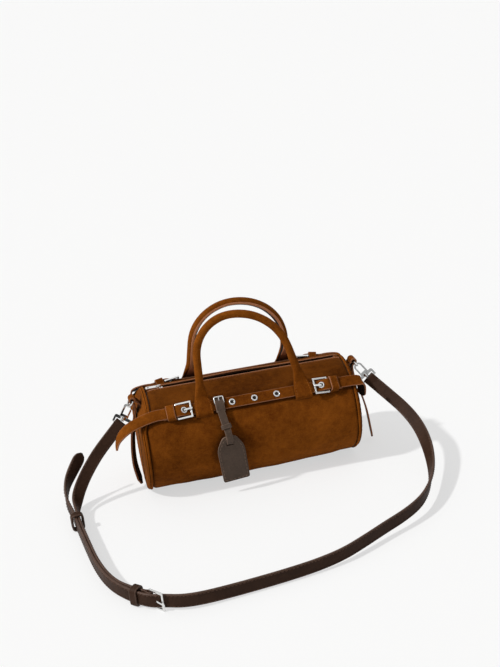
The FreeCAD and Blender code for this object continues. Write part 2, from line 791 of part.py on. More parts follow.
ring_centre = V(half_length + end_depth + ring_stand_off, 0, ring_height)
lean = math.radians(ring_lean)
yaw = math.radians(hook_yaw)
ring_out = V(math.sin(lean), 0, -math.cos(lean))
hang = ring_out * math.cos(yaw) - Y_AXIS * math.sin(yaw)
hook_across = Y_AXIS * math.cos(yaw) + ring_out * math.sin(yaw)
claw_centre = ring_arch_radius - ring_wire_radius - soft_gap + claw_inner_radius
claw_outer = claw_inner_radius + claw_wire
base_start = claw_centre + claw_leg
base_stop = base_start + hook_base
eye_bar = base_stop + eye_drop


def ring_tab(sways):
    """Suede tab sewn to the end, rolled round the ring's bar, with a tail that hangs free."""
    roll_half = roll_width / 2
    bore = ring_wire_radius + pivot_gap
    roll_low = ring_centre - V(0, roll_half, 0)
    roll = Part.makeCylinder(roll_radius, roll_width, roll_low, Y_AXIS)
    shelf = block(V(half_length, -roll_half, ring_height - tab_tail_thickness / 2),
                  V(ring_centre.x, roll_half, ring_height + tab_tail_thickness / 2))
    shelf = shelf.cut(end_cap(body_radius, end_depth, end_round))
    drop = ring_height - tab_tail_foot
    skin = V(tab_tail_thickness / 2, 0, 0)
    middle = [ring_centre + V(sway, 0, -drop * share) for share, sway in zip(tab_tail_shares, sways)]
    outline = [point - skin for point in middle] + [point + skin for point in reversed(middle)]
    tail = polygon(outline).extrude(V(0, roll_width, 0))
    tail.translate(V(0, -roll_half, 0))
    tab = join([roll, shelf, tail])
    return tab.cut(Part.makeCylinder(bore, roll_width + overrun, roll_low - V(0, overrun / 2, 0), Y_AXIS))


def make_d_ring():
    """Bar through the roll and a round arch, in its own frame with the arch along +Z."""
    wire_end = Part.makeCircle(ring_wire_radius, V(0, ring_arch_radius, 0), Z_AXIS)
    arch = Part.Face(Part.Wire([wire_end])).revolve(V(0, 0, 0), X_AXIS, 180)
    bar = Part.makeCylinder(ring_wire_radius, 2 * ring_arch_radius, V(0, -ring_arch_radius, 0), Y_AXIS)
    corners = [Part.makeSphere(ring_wire_radius, V(0, side * ring_arch_radius, 0)) for side in (-1, 1)]
    ring = join([arch, bar] + corners)
    return placed(ring, frame_at(ring_centre, Y_AXIS.cross(ring_out), Y_AXIS, ring_out))


hook_frame = frame_at(ring_centre, hook_across.cross(hang), hook_across, hang)
gate_middle = claw_inner_radius + claw_wire / 2
gate_pivot_drop = base_start - gate_thickness / 2 - pivot_gap
gate_tip_drop = claw_centre + gate_tip_gap


def slot_outline(half, top, foot):
    """Face of a round-topped slot in the hook's own XZ plane."""
    left = V(-half, 0, top + half)
    right = V(half, 0, top + half)
    edges = [Part.Arc(left, V(0, 0, top), right).toShape(), Part.makeLine(right, V(half, 0, foot)),
             Part.makeLine(V(half, 0, foot), V(-half, 0, foot)), Part.makeLine(V(-half, 0, foot), left)]
    return Part.Face(Part.Wire(edges))


def make_hook():
    """Claw, base and swivel post in one casting, in the hook's own frame."""
    claw = slot_outline(claw_outer, claw_centre - claw_outer, base_stop).extrude(V(0, claw_depth, 0))
    inside = slot_outline(claw_inner_radius, claw_centre - claw_inner_radius, base_start)
    claw.translate(V(0, -claw_depth / 2, 0))
    inside = inside.extrude(V(0, claw_depth + overrun, 0))
    inside.translate(V(0, -(claw_depth + overrun) / 2, 0))
    mouth = block(V(claw_inner_radius - trim_edge, -overrun, claw_centre),
                  V(claw_outer + overrun, overrun, base_start))
    claw = claw.cut(inside).cut(mouth)
    post = Part.makeCylinder(post_radius, post_length, V(0, 0, base_stop), Z_AXIS)
    head = Part.makeCylinder(post_head_radius, post_head_length, V(0, 0, base_stop + post_length), Z_AXIS)
    return join([claw, post, head])


def make_gate():
    """Spring gate that closes the claw, round at its pivot."""
    half = gate_thickness / 2
    depth = claw_depth - 2 * pivot_gap
    bar = block(V(gate_middle - half, -depth / 2, gate_tip_drop),
                V(gate_middle + half, depth / 2, gate_pivot_drop))
    knuckle = Part.makeCylinder(half, depth, V(gate_middle, -depth / 2, gate_pivot_drop), Y_AXIS)
    return join([bar, knuckle])


def make_eye():
    """Swivel eye with a hub round the post and a round bar for the strap, along its own Y."""
    hub_low = base_stop + pivot_gap
    inner_half = strap_width / 2 + eye_play
    outer_half = inner_half + eye_wire
    bar_radius = eye_wire / 2
    plate = block(V(-bar_radius, -outer_half, hub_low), V(bar_radius, outer_half, eye_bar))
    window = block(V(-overrun, -inner_half, hub_low + hub_length),
                   V(overrun, inner_half, eye_bar + overrun))
    plate = plate.cut(window)
    rounded = [edge for edge in plate.Edges if abs(edge.tangentAt(edge.FirstParameter).x) == 1
               and edge.CenterOfMass.z < hub_low + trim_edge]
    plate = plate.makeFillet(eye_wire, rounded)
    hub = Part.makeCylinder(hub_radius, hub_length, V(0, 0, hub_low), Z_AXIS)
    bar = Part.makeCylinder(bar_radius, 2 * outer_half, V(0, -outer_half, eye_bar), Y_AXIS)
    eye = join([plate, hub, bar])
    bore_low = V(0, 0, hub_low - overrun / 2)
    return eye.cut(Part.makeCylinder(post_radius + pivot_gap, overrun, bore_low, Z_AXIS))


d_ring = make_d_ring()
hook = placed(make_hook(), hook_frame)
gate = placed(make_gate(), hook_frame)
keep("ring_tab_right", ring_tab(right_tail_sways))
keep("ring_tab_left", mirrored(ring_tab(left_tail_sways)))
keep("d_ring_right", d_ring)
keep("d_ring_left", mirrored(d_ring))
keep("snap_hook_right", hook)
keep("snap_hook_left", mirrored(hook))
keep("hook_gate_right", gate)
keep("hook_gate_left", mirrored(gate))


# Shoulder strap, laid along straight runs joined by tangent arcs

def rounded_route(points):
    """Edges of a route with each corner rounded as far as its runs allow, and the radii."""
    edges = []
    radii = []
    start = points[0]
    for index in range(1, len(points) - 1):
        before = points[index] - points[index - 1]
        after = points[index + 1] - points[index]
        reach = corner_reach_share * min(before.Length, after.Length)
        turn = unit(before).getAngle(unit(after))
        radius = reach / math.tan(turn / 2)
        enter = points[index] - unit(before) * reach
        leave = points[index] + unit(after) * reach
        bisector = unit(unit(after) - unit(before))
        crown = points[index] + bisector * (radius / math.cos(turn / 2) - radius)
        edges.append(Part.LineSegment(start, enter).toShape())
        edges.append(Part.Arc(enter, crown, leave).toShape())
        radii.append(radius)
        start = leave
    edges.append(Part.LineSegment(start, points[-1]).toShape())
    return edges, radii


def lean_at(leans, spot):
    """Width direction at a place between two route points, counted in points from the clip."""
    lower = min(int(spot), len(leans) - 2)
    share = spot - lower
    return leans[lower] * (1 - share) + leans[lower + 1] * share


def strap_solid(name, route, leans):
    """Flat strap along a route, with its width turned evenly from one route point to the next."""
    edges, radii = rounded_route(route)
    stations = [(0, edges[0].valueAt(edges[0].FirstParameter), edges[0].tangentAt(edges[0].FirstParameter))]
    for number, edge in enumerate(edges):
        if number % 2:
            corner = (number + 1) / 2
            for step in range(arc_steps + 1):
                share = step / arc_steps
                parameter = edge.FirstParameter + share * (edge.LastParameter - edge.FirstParameter)
                spot = corner + corner_reach_share * (2 * share - 1)
                stations.append((spot, edge.valueAt(parameter), edge.tangentAt(parameter)))
    last = edges[-1]
    stations.append((len(route) - 1, last.valueAt(last.LastParameter), last.tangentAt(last.LastParameter)))
    laid = []
    for spot, place, tangent in stations:
        across = square_to(lean_at(leans, spot), tangent)
        laid.append((place, across, unit(tangent.cross(across))))
    solid = ribbon(laid, strap_width, strap_thickness)
    length = sum(edge.Length for edge in edges)
    print(name, "length %.1f, least radius %.1f, volume over section times length %.4f" % (
        length, min(radii), solid.Volume / (length * strap_width * strap_thickness)))
    return solid


def strap_end(bar_centre, across):
    """Turned-back end of a strap that wraps the bar of a clip or buckle."""
    inner = eye_wire / 2 + soft_gap
    low = bar_centre - across * (strap_width / 2)
    wrap = Part.makeCylinder(inner + strap_wrap, strap_width, low, across)
    return wrap, Part.makeCylinder(inner, strap_width + overrun, low - across * (overrun / 2), across)


def clip_side(side, lean):
    """Eye, bar centre and bar direction of the clip at one end of the bag."""
    down = V(side * hang.x, hang.y, hang.z)
    centre = V(side * ring_centre.x, ring_centre.y, ring_centre.z)
    across = square_to(lean, down)
    eye = placed(make_eye(), frame_at(centre, across.cross(down), across, down))
    return eye, centre + down * eye_bar, across


right_eye, right_bar, right_across = clip_side(1, right_clip_lean)
left_eye, left_bar, left_across = clip_side(-1, left_clip_lean)
keep("swivel_eye_right", right_eye)
keep("swivel_eye_left", left_eye)

heading = math.radians(strap_buckle_heading)
along = V(math.cos(heading), math.sin(heading), 0)
outward = V(-along.y, along.x, 0)
strap_heel = strap_buckle_centre + along * (strap_buckle_length / 2 - strap_buckle_wire / 2)


def wrapped_strap(name, route, leans, bars):
    """Strap along its route with its wrapped ends, cut clear of the bars."""
    strap = strap_solid(name, route, leans)
    wraps = [strap_end(centre, across) for centre, across in bars]
    strap = join([strap] + [wrap for wrap, core in wraps])
    for wrap, core in wraps:
        strap = strap.cut(core)
    return strap


def make_strap_buckle():
    """Strap buckle that stands on edge: a square frame whose heel is a round bar."""
    wire = strap_buckle_wire
    half = strap_width / 2 + eye_play + wire
    length = strap_buckle_length - wire
    frame = block(V(-length - wire / 2, -wire / 2, -half), V(0, wire / 2, half))
    window = block(V(-length + wire / 2, -overrun, -half + wire), V(overrun, overrun, half - wire))
    frame = frame.cut(window)
    frame = frame.makeFillet(trim_edge, [edge for edge in frame.Edges if edge.CenterOfMass.x < -trim_edge])
    bar = Part.makeCylinder(wire / 2, 2 * half, V(0, 0, -half), Z_AXIS)
    return join([frame, bar])


strap_tilt = math.degrees(math.atan2(strap_toe_shift, strap_buckle_length - strap_buckle_wire))
strap_buckle_frame = frame_at(strap_heel, along, outward, Z_AXIS)


def make_strap_prong():
    """Prong of the strap buckle, from the heel bar to the outer face of the toe."""
    sleeve_outer = strap_buckle_wire / 2 + pivot_gap + prong_wall
    toe = strap_buckle_length - strap_buckle_wire
    rise = strap_toe_shift + strap_buckle_wire / 2 + prong_thickness / 2 + 2 * soft_gap
    length = toe + prong_overhang
    sleeve = Part.makeCylinder(sleeve_outer, prong_width, V(0, 0, -prong_width / 2), Z_AXIS)
    tongue = block(V(-length, -prong_thickness / 2, -prong_width / 2),
                   V(0, prong_thickness / 2, prong_width / 2))
    prong = join([sleeve, tongue])
    bore = strap_buckle_wire / 2 + pivot_gap
    prong = prong.cut(Part.makeCylinder(bore, overrun, V(0, 0, -overrun / 2), Z_AXIS))
    prong.rotate(V(0, 0, 0), Z_AXIS, -math.degrees(math.atan2(rise, toe)))
    return placed(prong, strap_buckle_frame)


def strap_loop(centre, heading_vector, out_vector, low_out, high_out):
    """Keeper loop round both strap layers, in place."""
    inner_half = strap_width / 2 + strap_keeper_play
    wall = strap_keeper_thickness
    half = strap_keeper_length / 2
    outer_half = inner_half + wall
    outside = block(V(-half, low_out - wall, -outer_half), V(half, high_out + wall, outer_half))
    outside = outside.makeFillet(wall, [edge for edge in outside.Edges
                                        if abs(edge.tangentAt(edge.FirstParameter).x) == 1])
    inside = block(V(-overrun, low_out, -inner_half), V(overrun, high_out, inner_half))
    return placed(outside.cut(inside), frame_at(centre, heading_vector, out_vector, Z_AXIS))


strap_buckle = make_strap_buckle()
strap_buckle.rotate(V(0, 0, 0), Z_AXIS, -strap_tilt)
strap_buckle = placed(strap_buckle, strap_buckle_frame)
strap_prong = make_strap_prong()
long_route = (right_bar,) + long_strap_route
upright_count = len(long_strap_route) - len(long_strap_leans) - len(long_strap_tail_leans)
long_leans = (right_across,) + long_strap_leans + (Z_AXIS,) * upright_count + long_strap_tail_leans
long_strap = wrapped_strap("strap_long", long_route, long_leans, ((right_bar, right_across),))
prong_way = V(strap_buckle_length, overrun, prong_width + 2 * prong_slot_play)
prong_slot = block(V(-prong_way.x, -prong_way.y, -prong_way.z / 2), V(0, prong_way.y, prong_way.z / 2))
long_strap = long_strap.cut(placed(prong_slot, strap_buckle_frame))
short_route = (left_bar,) + short_strap_route + (strap_heel,)
upright_count = len(short_route) - 1 - len(short_strap_leans)
short_leans = (left_across,) + short_strap_leans + (Z_AXIS,) * upright_count
short_bars = ((left_bar, left_across), (strap_heel, Z_AXIS))
short_strap = wrapped_strap("strap_short", short_route, short_leans, short_bars)
heel_slot = block(V(-overrun, -overrun, -prong_way.z / 2), V(strap_wrap * 2, overrun, prong_way.z / 2))
short_strap = short_strap.cut(placed(heel_slot, strap_buckle_frame))
keep("strap_long", long_strap)
keep("strap_short", short_strap)
keep("strap_buckle", strap_buckle)
keep("strap_prong", strap_prong)

layer_low = -strap_thickness / 2 - strap_keeper_play
layer_high = strap_thickness * 3 / 2 + strap_layer_gap + 2 * strap_keeper_play
fixed_keeper_centre = strap_buckle_centre + along * fixed_keeper_offset
fixed_high = layer_high + fixed_keeper_slack
keep("strap_fixed_keeper", strap_loop(fixed_keeper_centre, along, outward, layer_low, fixed_high))
slide_from = short_strap_route[5]
slide_to = short_strap_route[4]
slide_heading = unit(V(slide_to.x - slide_from.x, slide_to.y - slide_from.y, 0))
slide_centre = (slide_from + slide_to) / 2
slide_outward = V(-slide_heading.y, slide_heading.x, 0)
keep("strap_sliding_keeper", strap_loop(slide_centre, slide_heading, slide_outward, layer_low, layer_high))


# Tag: a loop on the belt with its buckle, and a strap with a stitched panel that swings

tag_half = tag_strap_width / 2
tag_loop_low = body_radius + seat_gap
tag_loop_high = belt_high + seat_gap + tag_strap_thickness
tag_loop_half = belt_width / 2 + soft_gap + tag_strap_thickness
tag_flex = belt_point(tag_place, -tag_loop_half - tag_flex_margin, belt_high)
tag_panel_back = -body_radius - tag_panel_stand
tag_panel_front = tag_panel_back - tag_panel_thickness
tag_slot_top = tag_panel_top - tag_slot_drop
tag_layer = tag_strap_thickness / 2
tag_slot_height_middle = tag_slot_top - tag_slot_height / 2


def make_tag_loop():
    """Closed loop of thin leather round the belt."""
    outside = block(V(tag_place - tag_half, -tag_loop_half, tag_loop_low),
                    V(tag_place + tag_half, tag_loop_half, tag_loop_high))
    inside = block(V(tag_place - overrun, -belt_width / 2 - soft_gap, tag_loop_low + tag_loop_thickness),
                   V(tag_place + overrun, belt_width / 2 + soft_gap, belt_high + seat_gap))
    return outside.cut(inside)


def make_tag_buckle():
    """Small square buckle with its prong, on the face of the loop."""
    wire = tag_buckle_wire
    half_x = tag_half + soft_gap + wire
    low = tag_loop_high
    high_y = tag_buckle_length / 2
    frame = block(V(-half_x, -high_y, low), V(half_x, high_y, low + wire))
    frame = frame.cut(block(V(-half_x + wire, -high_y + wire, low - overrun),
                            V(half_x - wire, high_y - wire, low + overrun)))
    corners = [edge for edge in frame.Edges if abs(edge.tangentAt(edge.FirstParameter).z) == 1
               and abs(edge.CenterOfMass.x) == half_x]
    frame = frame.makeFillet(wire, corners)
    prong = block(V(-wire / 2, -high_y + wire / 2, low), V(wire / 2, high_y - wire / 2, low + wire))
    buckle = join([frame, prong])
    buckle.translate(V(tag_place, 0, 0))
    return buckle


def make_tag_strap():
    """Doubled strap that hangs from the loop, parts round the panel's head and joins in its slot."""
    knee_y = tag_panel_front - soft_gap - tag_layer
    top = V(tag_place, tag_flex.y, tag_flex.z)
    knee = V(tag_place + tag_panel_shift, knee_y, tag_panel_top + tag_strap_width / 2)
    foot = V(knee.x, knee_y, tag_slot_top - tag_strap_thickness)
    down = unit(knee - top)
    across_top = square_to(X_AXIS, down)
    across_foot = X_AXIS
    stations = [(top, across_top, unit(down.cross(across_top))),
                (knee, across_foot, V(0, -1, 0)), (foot, across_foot, V(0, -1, 0))]
    front = ribbon(stations, tag_strap_width, tag_strap_thickness)
    back_y = tag_panel_back + soft_gap + tag_layer
    back_top = V(knee.x, back_y, knee.z)
    back_foot = V(knee.x, back_y, foot.z)
    back = ribbon([(back_top, X_AXIS, V(0, -1, 0)), (back_foot, X_AXIS, V(0, -1, 0))],
                  tag_strap_width, tag_strap_thickness)
    bridge_low = foot.z - tag_strap_thickness
    link = block(V(knee.x - tag_half, knee_y - tag_layer, bridge_low),
                 V(knee.x + tag_half, back_y + tag_layer, foot.z))
    crown = block(V(knee.x - tag_half, knee_y - tag_layer, knee.z - tag_strap_thickness),
                  V(knee.x + tag_half, back_y + tag_layer, knee.z))
    return join([front, back, link, crown])


def make_tag_panel():
    """Shield-shaped leather panel with sloped shoulders, narrow foot and a slot."""
    x = tag_place + tag_panel_shift
    top = tag_panel_top
    shoulder = top - tag_panel_shoulder
    foot = top - tag_panel_height
    right_side = ((tag_panel_neck / 2, top), (tag_panel_width / 2, shoulder), (tag_panel_foot / 2, foot))
    outline = [V(x + half, tag_panel_front, height) for half, height in right_side]
    outline += [V(x - half, tag_panel_front, height) for half, height in reversed(right_side)]
    panel = polygon(outline).extrude(V(0, tag_panel_thickness, 0))
    corners = [edge for edge in panel.Edges if abs(edge.tangentAt(edge.FirstParameter).y) == 1]
    panel = panel.makeFillet(tag_panel_thickness, corners)
    slot_half = tag_half + soft_gap
    slot_foot = tag_slot_top - tag_slot_height - soft_gap
    return panel.cut(block(V(x - slot_half, tag_panel_front - overrun, slot_foot),
                           V(x + slot_half, tag_panel_back + overrun, tag_slot_top)))


def make_tag_keeper():
    """Band round the hanging strap, between its loop and its panel."""
    knee_y = tag_panel_front - soft_gap - tag_layer
    top = V(tag_place, tag_flex.y, tag_flex.z)
    knee = V(tag_place + tag_panel_shift, knee_y, tag_panel_top + tag_strap_width / 2)
    centre = top + (knee - top) * tag_keeper_share
    down = unit(knee - top)
    across = square_to(X_AXIS, down)
    inner = V(tag_half + soft_gap, tag_layer + soft_gap, tag_keeper_height / 2)
    wall = tag_strap_thickness
    outer = inner + V(wall, wall, 0)
    outside = block(V(-outer.x, -outer.y, -inner.z), outer)
    inside = block(V(-inner.x, -inner.y, -overrun), V(inner.x, inner.y, overrun))
    return placed(outside.cut(inside), frame_at(centre, across, down.cross(across), down))


keep("tag_loop", on_belt(make_tag_loop()))
keep("tag_buckle", on_belt(make_tag_buckle()))
keep("tag_strap", make_tag_strap())
keep("tag_panel", make_tag_panel())
keep("tag_keeper", make_tag_keeper())


os.makedirs("parts", exist_ok=True)
for node, shape in nodes.items():
    shape.exportStep("parts/%s.step" % node)
print(len(nodes), "nodes")
print("handle hinge", handle_foot, "ring", ring_centre, "hang", hang, "hook across", hook_across)
print("heel front right", belt_point(heel_x, 0, heel_out), "tag flex", tag_flex)
print("pull axis", slider_rest, pull_axis_z, "strap heel", strap_heel, "slide heading", slide_heading)
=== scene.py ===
"""Suede barrel bag: soft goods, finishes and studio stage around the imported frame."""
import math

import bmesh
import bpy
from bpy.props import FloatProperty, FloatVectorProperty, IntProperty, PointerProperty
from mathutils import Matrix, Vector, noise


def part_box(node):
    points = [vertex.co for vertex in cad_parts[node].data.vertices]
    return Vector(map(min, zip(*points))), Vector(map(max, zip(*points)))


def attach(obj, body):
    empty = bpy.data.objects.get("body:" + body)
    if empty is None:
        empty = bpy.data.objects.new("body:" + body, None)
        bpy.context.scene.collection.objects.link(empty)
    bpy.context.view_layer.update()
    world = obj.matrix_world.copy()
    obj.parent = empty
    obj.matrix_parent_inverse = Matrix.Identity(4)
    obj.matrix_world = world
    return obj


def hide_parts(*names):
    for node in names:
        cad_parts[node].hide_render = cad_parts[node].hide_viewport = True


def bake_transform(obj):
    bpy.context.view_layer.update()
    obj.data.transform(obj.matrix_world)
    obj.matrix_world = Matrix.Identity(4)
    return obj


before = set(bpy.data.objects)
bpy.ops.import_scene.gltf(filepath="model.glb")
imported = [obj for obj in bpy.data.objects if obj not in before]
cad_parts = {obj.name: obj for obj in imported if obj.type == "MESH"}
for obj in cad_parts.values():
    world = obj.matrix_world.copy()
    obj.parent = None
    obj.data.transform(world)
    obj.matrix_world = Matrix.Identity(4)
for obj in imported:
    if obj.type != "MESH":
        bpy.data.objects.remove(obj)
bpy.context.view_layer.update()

bl_info = {
    "name": "Suede barrel bag",
    "version": (1, 0, 0),
    "blender": (4, 5, 0),
    "location": "View3D > Sidebar > Bag",
    "description": "Dresses the frame of a barrel bag in suede, leather and chrome",
    "category": "Object",
}

MM = 0.001
X_AXIS = Vector((1, 0, 0))
Y_AXIS = Vector((0, 1, 0))
Z_AXIS = Vector((0, 0, 1))

# Finish index of the faces of a strap
FACE, EDGE, BACK, THREAD = 0, 1, 2, 3

# Camera and studio, in metres, the film in millimetres: the camera's own axes, the side that the key light
# comes from and the world's tones by height
CAMERA_PLACE = Vector((-0.2078, -1.1009, 0.5855))
CAMERA_AXES = ((0.969, -0.2291, -0.0927), (0.1647, 0.3191, 0.9333), (-0.1843, -0.9196, 0.3469))
FILM_HEIGHT = 36.0
CAMERA_NEAR = 0.01
FLOOR_REACH = 60.0
FLOOR_GLOW = 0.60
KEY_FROM = Vector((-0.688, -0.097, 0.719))
KEY_PASSES = "key_passes"
BACKDROP = (0.965, 0.965, 0.955, 1)
STUDIO_TILT = 0.25
STUDIO_TONES = (
    (0.0, 0.40), (0.03, 0.95), (0.17, 0.95), (0.20, 0.03), (0.35, 0.03), (0.38, 0.55), (0.43, 0.55),
    (0.45, 0.03), (0.53, 0.03), (0.56, 1.0), (0.66, 1.0), (0.70, 0.22), (0.78, 0.96),
)

# Finishes: grains as (scale, detail, weight), and the reach of the summed grains
SUEDE_GRAINS = ((11, 2, 0.8), (38, 3, 0.5), (150, 4, 0.36), (700, 4, 0.60), (2600, 2, 0.55))
LEATHER_GRAINS = ((45, 3, 0.8), (420, 4, 0.6), (2400, 2, 0.35))
WOVEN_GRAINS = ((120, 3, 0.8), (1500, 2, 0.6))
CHROME_GRAINS = ((90, 3, 0.8), (700, 3, 0.5))
TONE_REACH = 0.26
SHEEN_TINT = (0.62, 0.26, 0.07, 1)
SHARP_EDGE = math.radians(48)

# Barrel, in millimetres
AXIS_HEIGHT = 60.5
RADIUS = 62.0
HALF_LENGTH = 126.0
WELT = 3.0
PANEL = 2.4
ZIP_HALF = 115.0
SLOT_HALF = 4.5
SLOT_COLUMNS = 4
TUBE_COLUMNS = 132
ROW_STEP = 2.5
END_ROWS = (0.0, 1.0, 2.4, 4.5)
SEAM_TUCK = 2.2
TUCK_RUN = 3.6
PANEL_SOFT_EDGE = 0.6
ZIP_STITCH_OFF = 2.6
ZIP_STITCH_HALF = 112
BINDING_HALF = 120.0
BINDING_OFF = 0.1
BINDING_SUNK = 0.25
BINDING_RIPPLE = 0.15
BINDING_RING = (1.0, 0.95, 2.2, 12)

# Slump of the barrel, in millimetres: fuller lower left, lifted right, drooping ends, raised rear zip lip
LOW_RISE = (90, 112)
LEFT_FULL = 7.0
LEFT_FULL_FROM = 60
RIGHT_LIFT = 3.6
RIGHT_LIFT_FROM = 20
RIGHT_LIFT_TOP = 60
END_DROOP = 2.0
END_DROOP_FROM = 112
END_DROOP_RISE = (88, 118)
LEFT_DRAWN = 2.2
LEFT_DRAWN_FROM = 104
LEFT_DRAWN_RISE = (92, 118)
LIP_LIFT = 1.7
LIP_X = -12.0
LIP_SPREAD = 42.0
LIP_WIDTH = (5, 17)
TOP_HEIGHT = 100.0

# Barrel's cloth: settings of the simulation, the wave of the hide in metres, and the heights in millimetres
# between which the barrel's top is darkened as painted shade, with the share of its tone that is left
CLOTH = {"quality": 6, "mass": 0.4, "tension_stiffness": 30, "compression_stiffness": 30,
         "bending_stiffness": 3, "use_pressure": True, "uniform_pressure_force": 2.5}
CLOTH_GRAVITY = 0.6
WAVE_SCALE = 26
WAVE_HEIGHT = 0.0007
WAVE_SINK = 0.0002
PAINTED_TOP_SHADE = (99.0, 113.0, 0.58)

# Distances over which the barrel's cloth comes free, in millimetres: from end seams, belts, slot and foot
FREE_FROM_SEAM = (2, 30)
FREE_FROM_BELT = (2, 10)
BELT_HELD_HALF = 9
FREE_FROM_SLOT = (3, 16)
FREE_FROM_FOOT = (0.5, 9)

# Ends, in millimetres, by side: shares of the pillow's depth above and below, and the seams' places
END_DEPTHS = {-1: (0.50, 0.50), 1: (0.30, 0.15)}
END_SEAMS = {-1: 126.0, 1: 124.3}
END_COLUMNS = 144
END_PROFILE = (
    (0.1, 60.4), (0.4, 61.2), (1.1, 61.9), (2.0, 62.0), (3.0, 61.7), (4.0, 60.9), (4.8, 59.6), (5.2, 58.0),
    (5.4, 55.5), (5.4, 51.5), (5.3, 46.0), (5.2, 38.0), (5.1, 28.0), (5.0, 17.0), (4.9, 8.0),
)
FOOT_RIM = 12.0
FOOT_HEIGHT = 2.5
PUCKER = 0.16
PUCKER_TURN = 2.9
END_RIPPLE = 0.55
PIPING_X = {-1: 124.5, 1: 123.4}
PIPING_SUNK = 0.6
PIPING_FLOOR = 1.3
PIPING_STEPS = 180
PIPING_HALVES = (1.5, 1.4)
PIPING_SIDES = 14

# Lining and zip tapes, in millimetres
LINING_GAP = 0.4
LINING_MOUTH = 9.6
LINING_HALF = 125.4
LINING_COLUMNS = 72
LINING_ROWS = 40
LINING_RUCK = 0.35
LINING_THICK = 0.6
TAPE_SECTION = (7.0, 0.8, 0.35)
TAPE_SIDE = 5.7
TAPE_RADIUS = 59.2
TAPE_OUT = 58.9
TAPE_RIPPLE = 0.12
TAPE_STEPS = 60

# Belts, in millimetres: places along the belt and out from the barrel's axis
BELT_ANGLE = math.radians(44.6)
BELT_WIDTH = 13.6
BELT_THICK = 2.0
BELT_CORNER = 0.55
BELT_CROWN = 75.0
BELT_CROWNED_HALF = 112.0
BELT_TIP = 6.0
BELT_OUT = 64.6
BELT_OVER_HEEL = 68.16
BELT_END = 128.0
BELT_LINE = (
    (121.0, BELT_OUT), (108.0, BELT_OUT), (101.0, 66.1), (94.5, 67.7), (91.0, BELT_OVER_HEEL), (88.0, 67.85),
    (83.0, 66.4), (78.5, 65.0), (74.0, BELT_OUT), (66.0, BELT_OUT), (45.0, BELT_OUT), (22.0, BELT_OUT),
)
LONG_TAIL = ((19.5, 4.0, 6.0), (31.5, 7.5, 13.5), (37.5, 9.5, 21.5), (38.5, 10.0, 29.0))
CURL_TAIL = ((4.2, 0, 1.2), (6.8, -0.5, 4.8), (7.2, -2.5, 11.0), (7.0, -5.0, 18.0), (6.6, -7.5, 24.0))
CURL_LEAN = Vector((-0.5, 0.866, 0))
# Dark strip under each belt, a painted shadow that fills the gap between belt and barrel
SHADOW_STRIP_OUT = 61.5
SHADOW_STRIP_THICK = 4.1
SHADOW_STRIP_INSET = 3.0
SHADOW_STRIP_HALF = 88

# Eyelets as (place along, out, hole radius, tilt in degrees, ring radius), in millimetres, each hole filled
# by a dark disc of painted shade
EYELET_PITCH = 27.0
EYELET_SHIFT = 1.2
EYELETS = (
    *[(EYELET_SHIFT + EYELET_PITCH * k, BELT_OUT + 1.0, 2.5, 0.0, 3.05) for k in (-1, 0, 1)],
    *[(side * 82.9, 67.40, 2.4, side * -16.3, 3.0) for side in (-1, 1)],
)
EYELET_RING = (0.95, 0.85, 2.3, 14)
EYELET_STEPS = 32
# Levels and sides of the dark disc that fills each eyelet's hole as painted shade
SHADE_DISC_LEVELS = (-0.6, 0.14)
SHADE_DISC_SIDES = 20

# Belt keepers and the straps that hold the buckles, in millimetres
KEEPER_X = 98.0
KEEPER_HALF = 7.9
KEEPER_FEET = (61.5, 64.0)
KEEPER_TOP = 68.95
KEEPER_CORNER = 1.7
KEEPER_LEAN = math.radians(11)
KEEPER_PIVOT = 63.0
KEEPER_STRIP = (10.0, 2.0, 0.7)
KEEPER_STITCH_X = 3.4
KEEPER_STITCH_HALF = 6.9
KEEPER_SKIN = 0.98
HEEL_X = 91.4
HEEL_OUT = 64.58
BASE_SECTION = (5.6, 1.2, 0.4)
BASE_RUN = ((108.0, 62.8), (100.0, 62.8), (94.0, 62.8), (92.4, 62.8))
BASE_TURN = 1.78
BASE_RETURN = ((92.4, 66.36), (93.0, 66.3))
BASE_SIDES = (-4.2, 4.2)

# Handles, in millimetres: leans of both legs and shift of the crown, the lapped seam by ring side (a light
# cut edge beside a dark groove that is partly edge paint, partly painted shade), and the distances from a
# tab's cut edge over which the handle narrows, thickens, turns and rolls up
HANDLE_RADIUS = 4.75
HANDLE_SPAN = 120.0
HANDLE_RISE = 87.0
HANDLE_INSET = 14.9
FRONT_LEANS = (0.03, 0.25, -13.2)
REAR_LEANS = (-0.10, 0.135, 1.6)
HANDLE_SIDES = 28
HANDLE_WOBBLE = 0.035
SEAM_SWELL = {16: -0.03, 17: -0.10, 18: -0.10, 19: 0.04, 20: 0.06, 21: 0.06, 22: 0.03}
SEAM_EDGE_AND_SHADE_TAGS = {16: BACK, 17: BACK, 18: BACK, 19: EDGE, 20: EDGE, 21: EDGE}
FLEX_ACROSS = 15.75
FLEX_OUT = 68.9
FLEX_BELOW = 8.0
FLEX_ABOVE = 36.0
TAB_LINE = ((-10.2, 62.6), (-9.8, 64.2), (-8.6, 65.9), (-5.5, 66.75), (0, 66.9), (5, 66.95), (10.5, 67.5))
TAB_HALF = 10.4
TAB_SKIN = 1.1
WIDTH_RUN = (9, 43)
THICK_RUN = (17, 42)
TURN_RUN = (14, 34)
ROLL_RUN = (15, 40)
TAB_SQUARENESS = 7.0
ROLL_SQUARENESS = 2.0
TAB_ROW = (2.0, 23.5)
TAB_ROW_INSET = 2.0

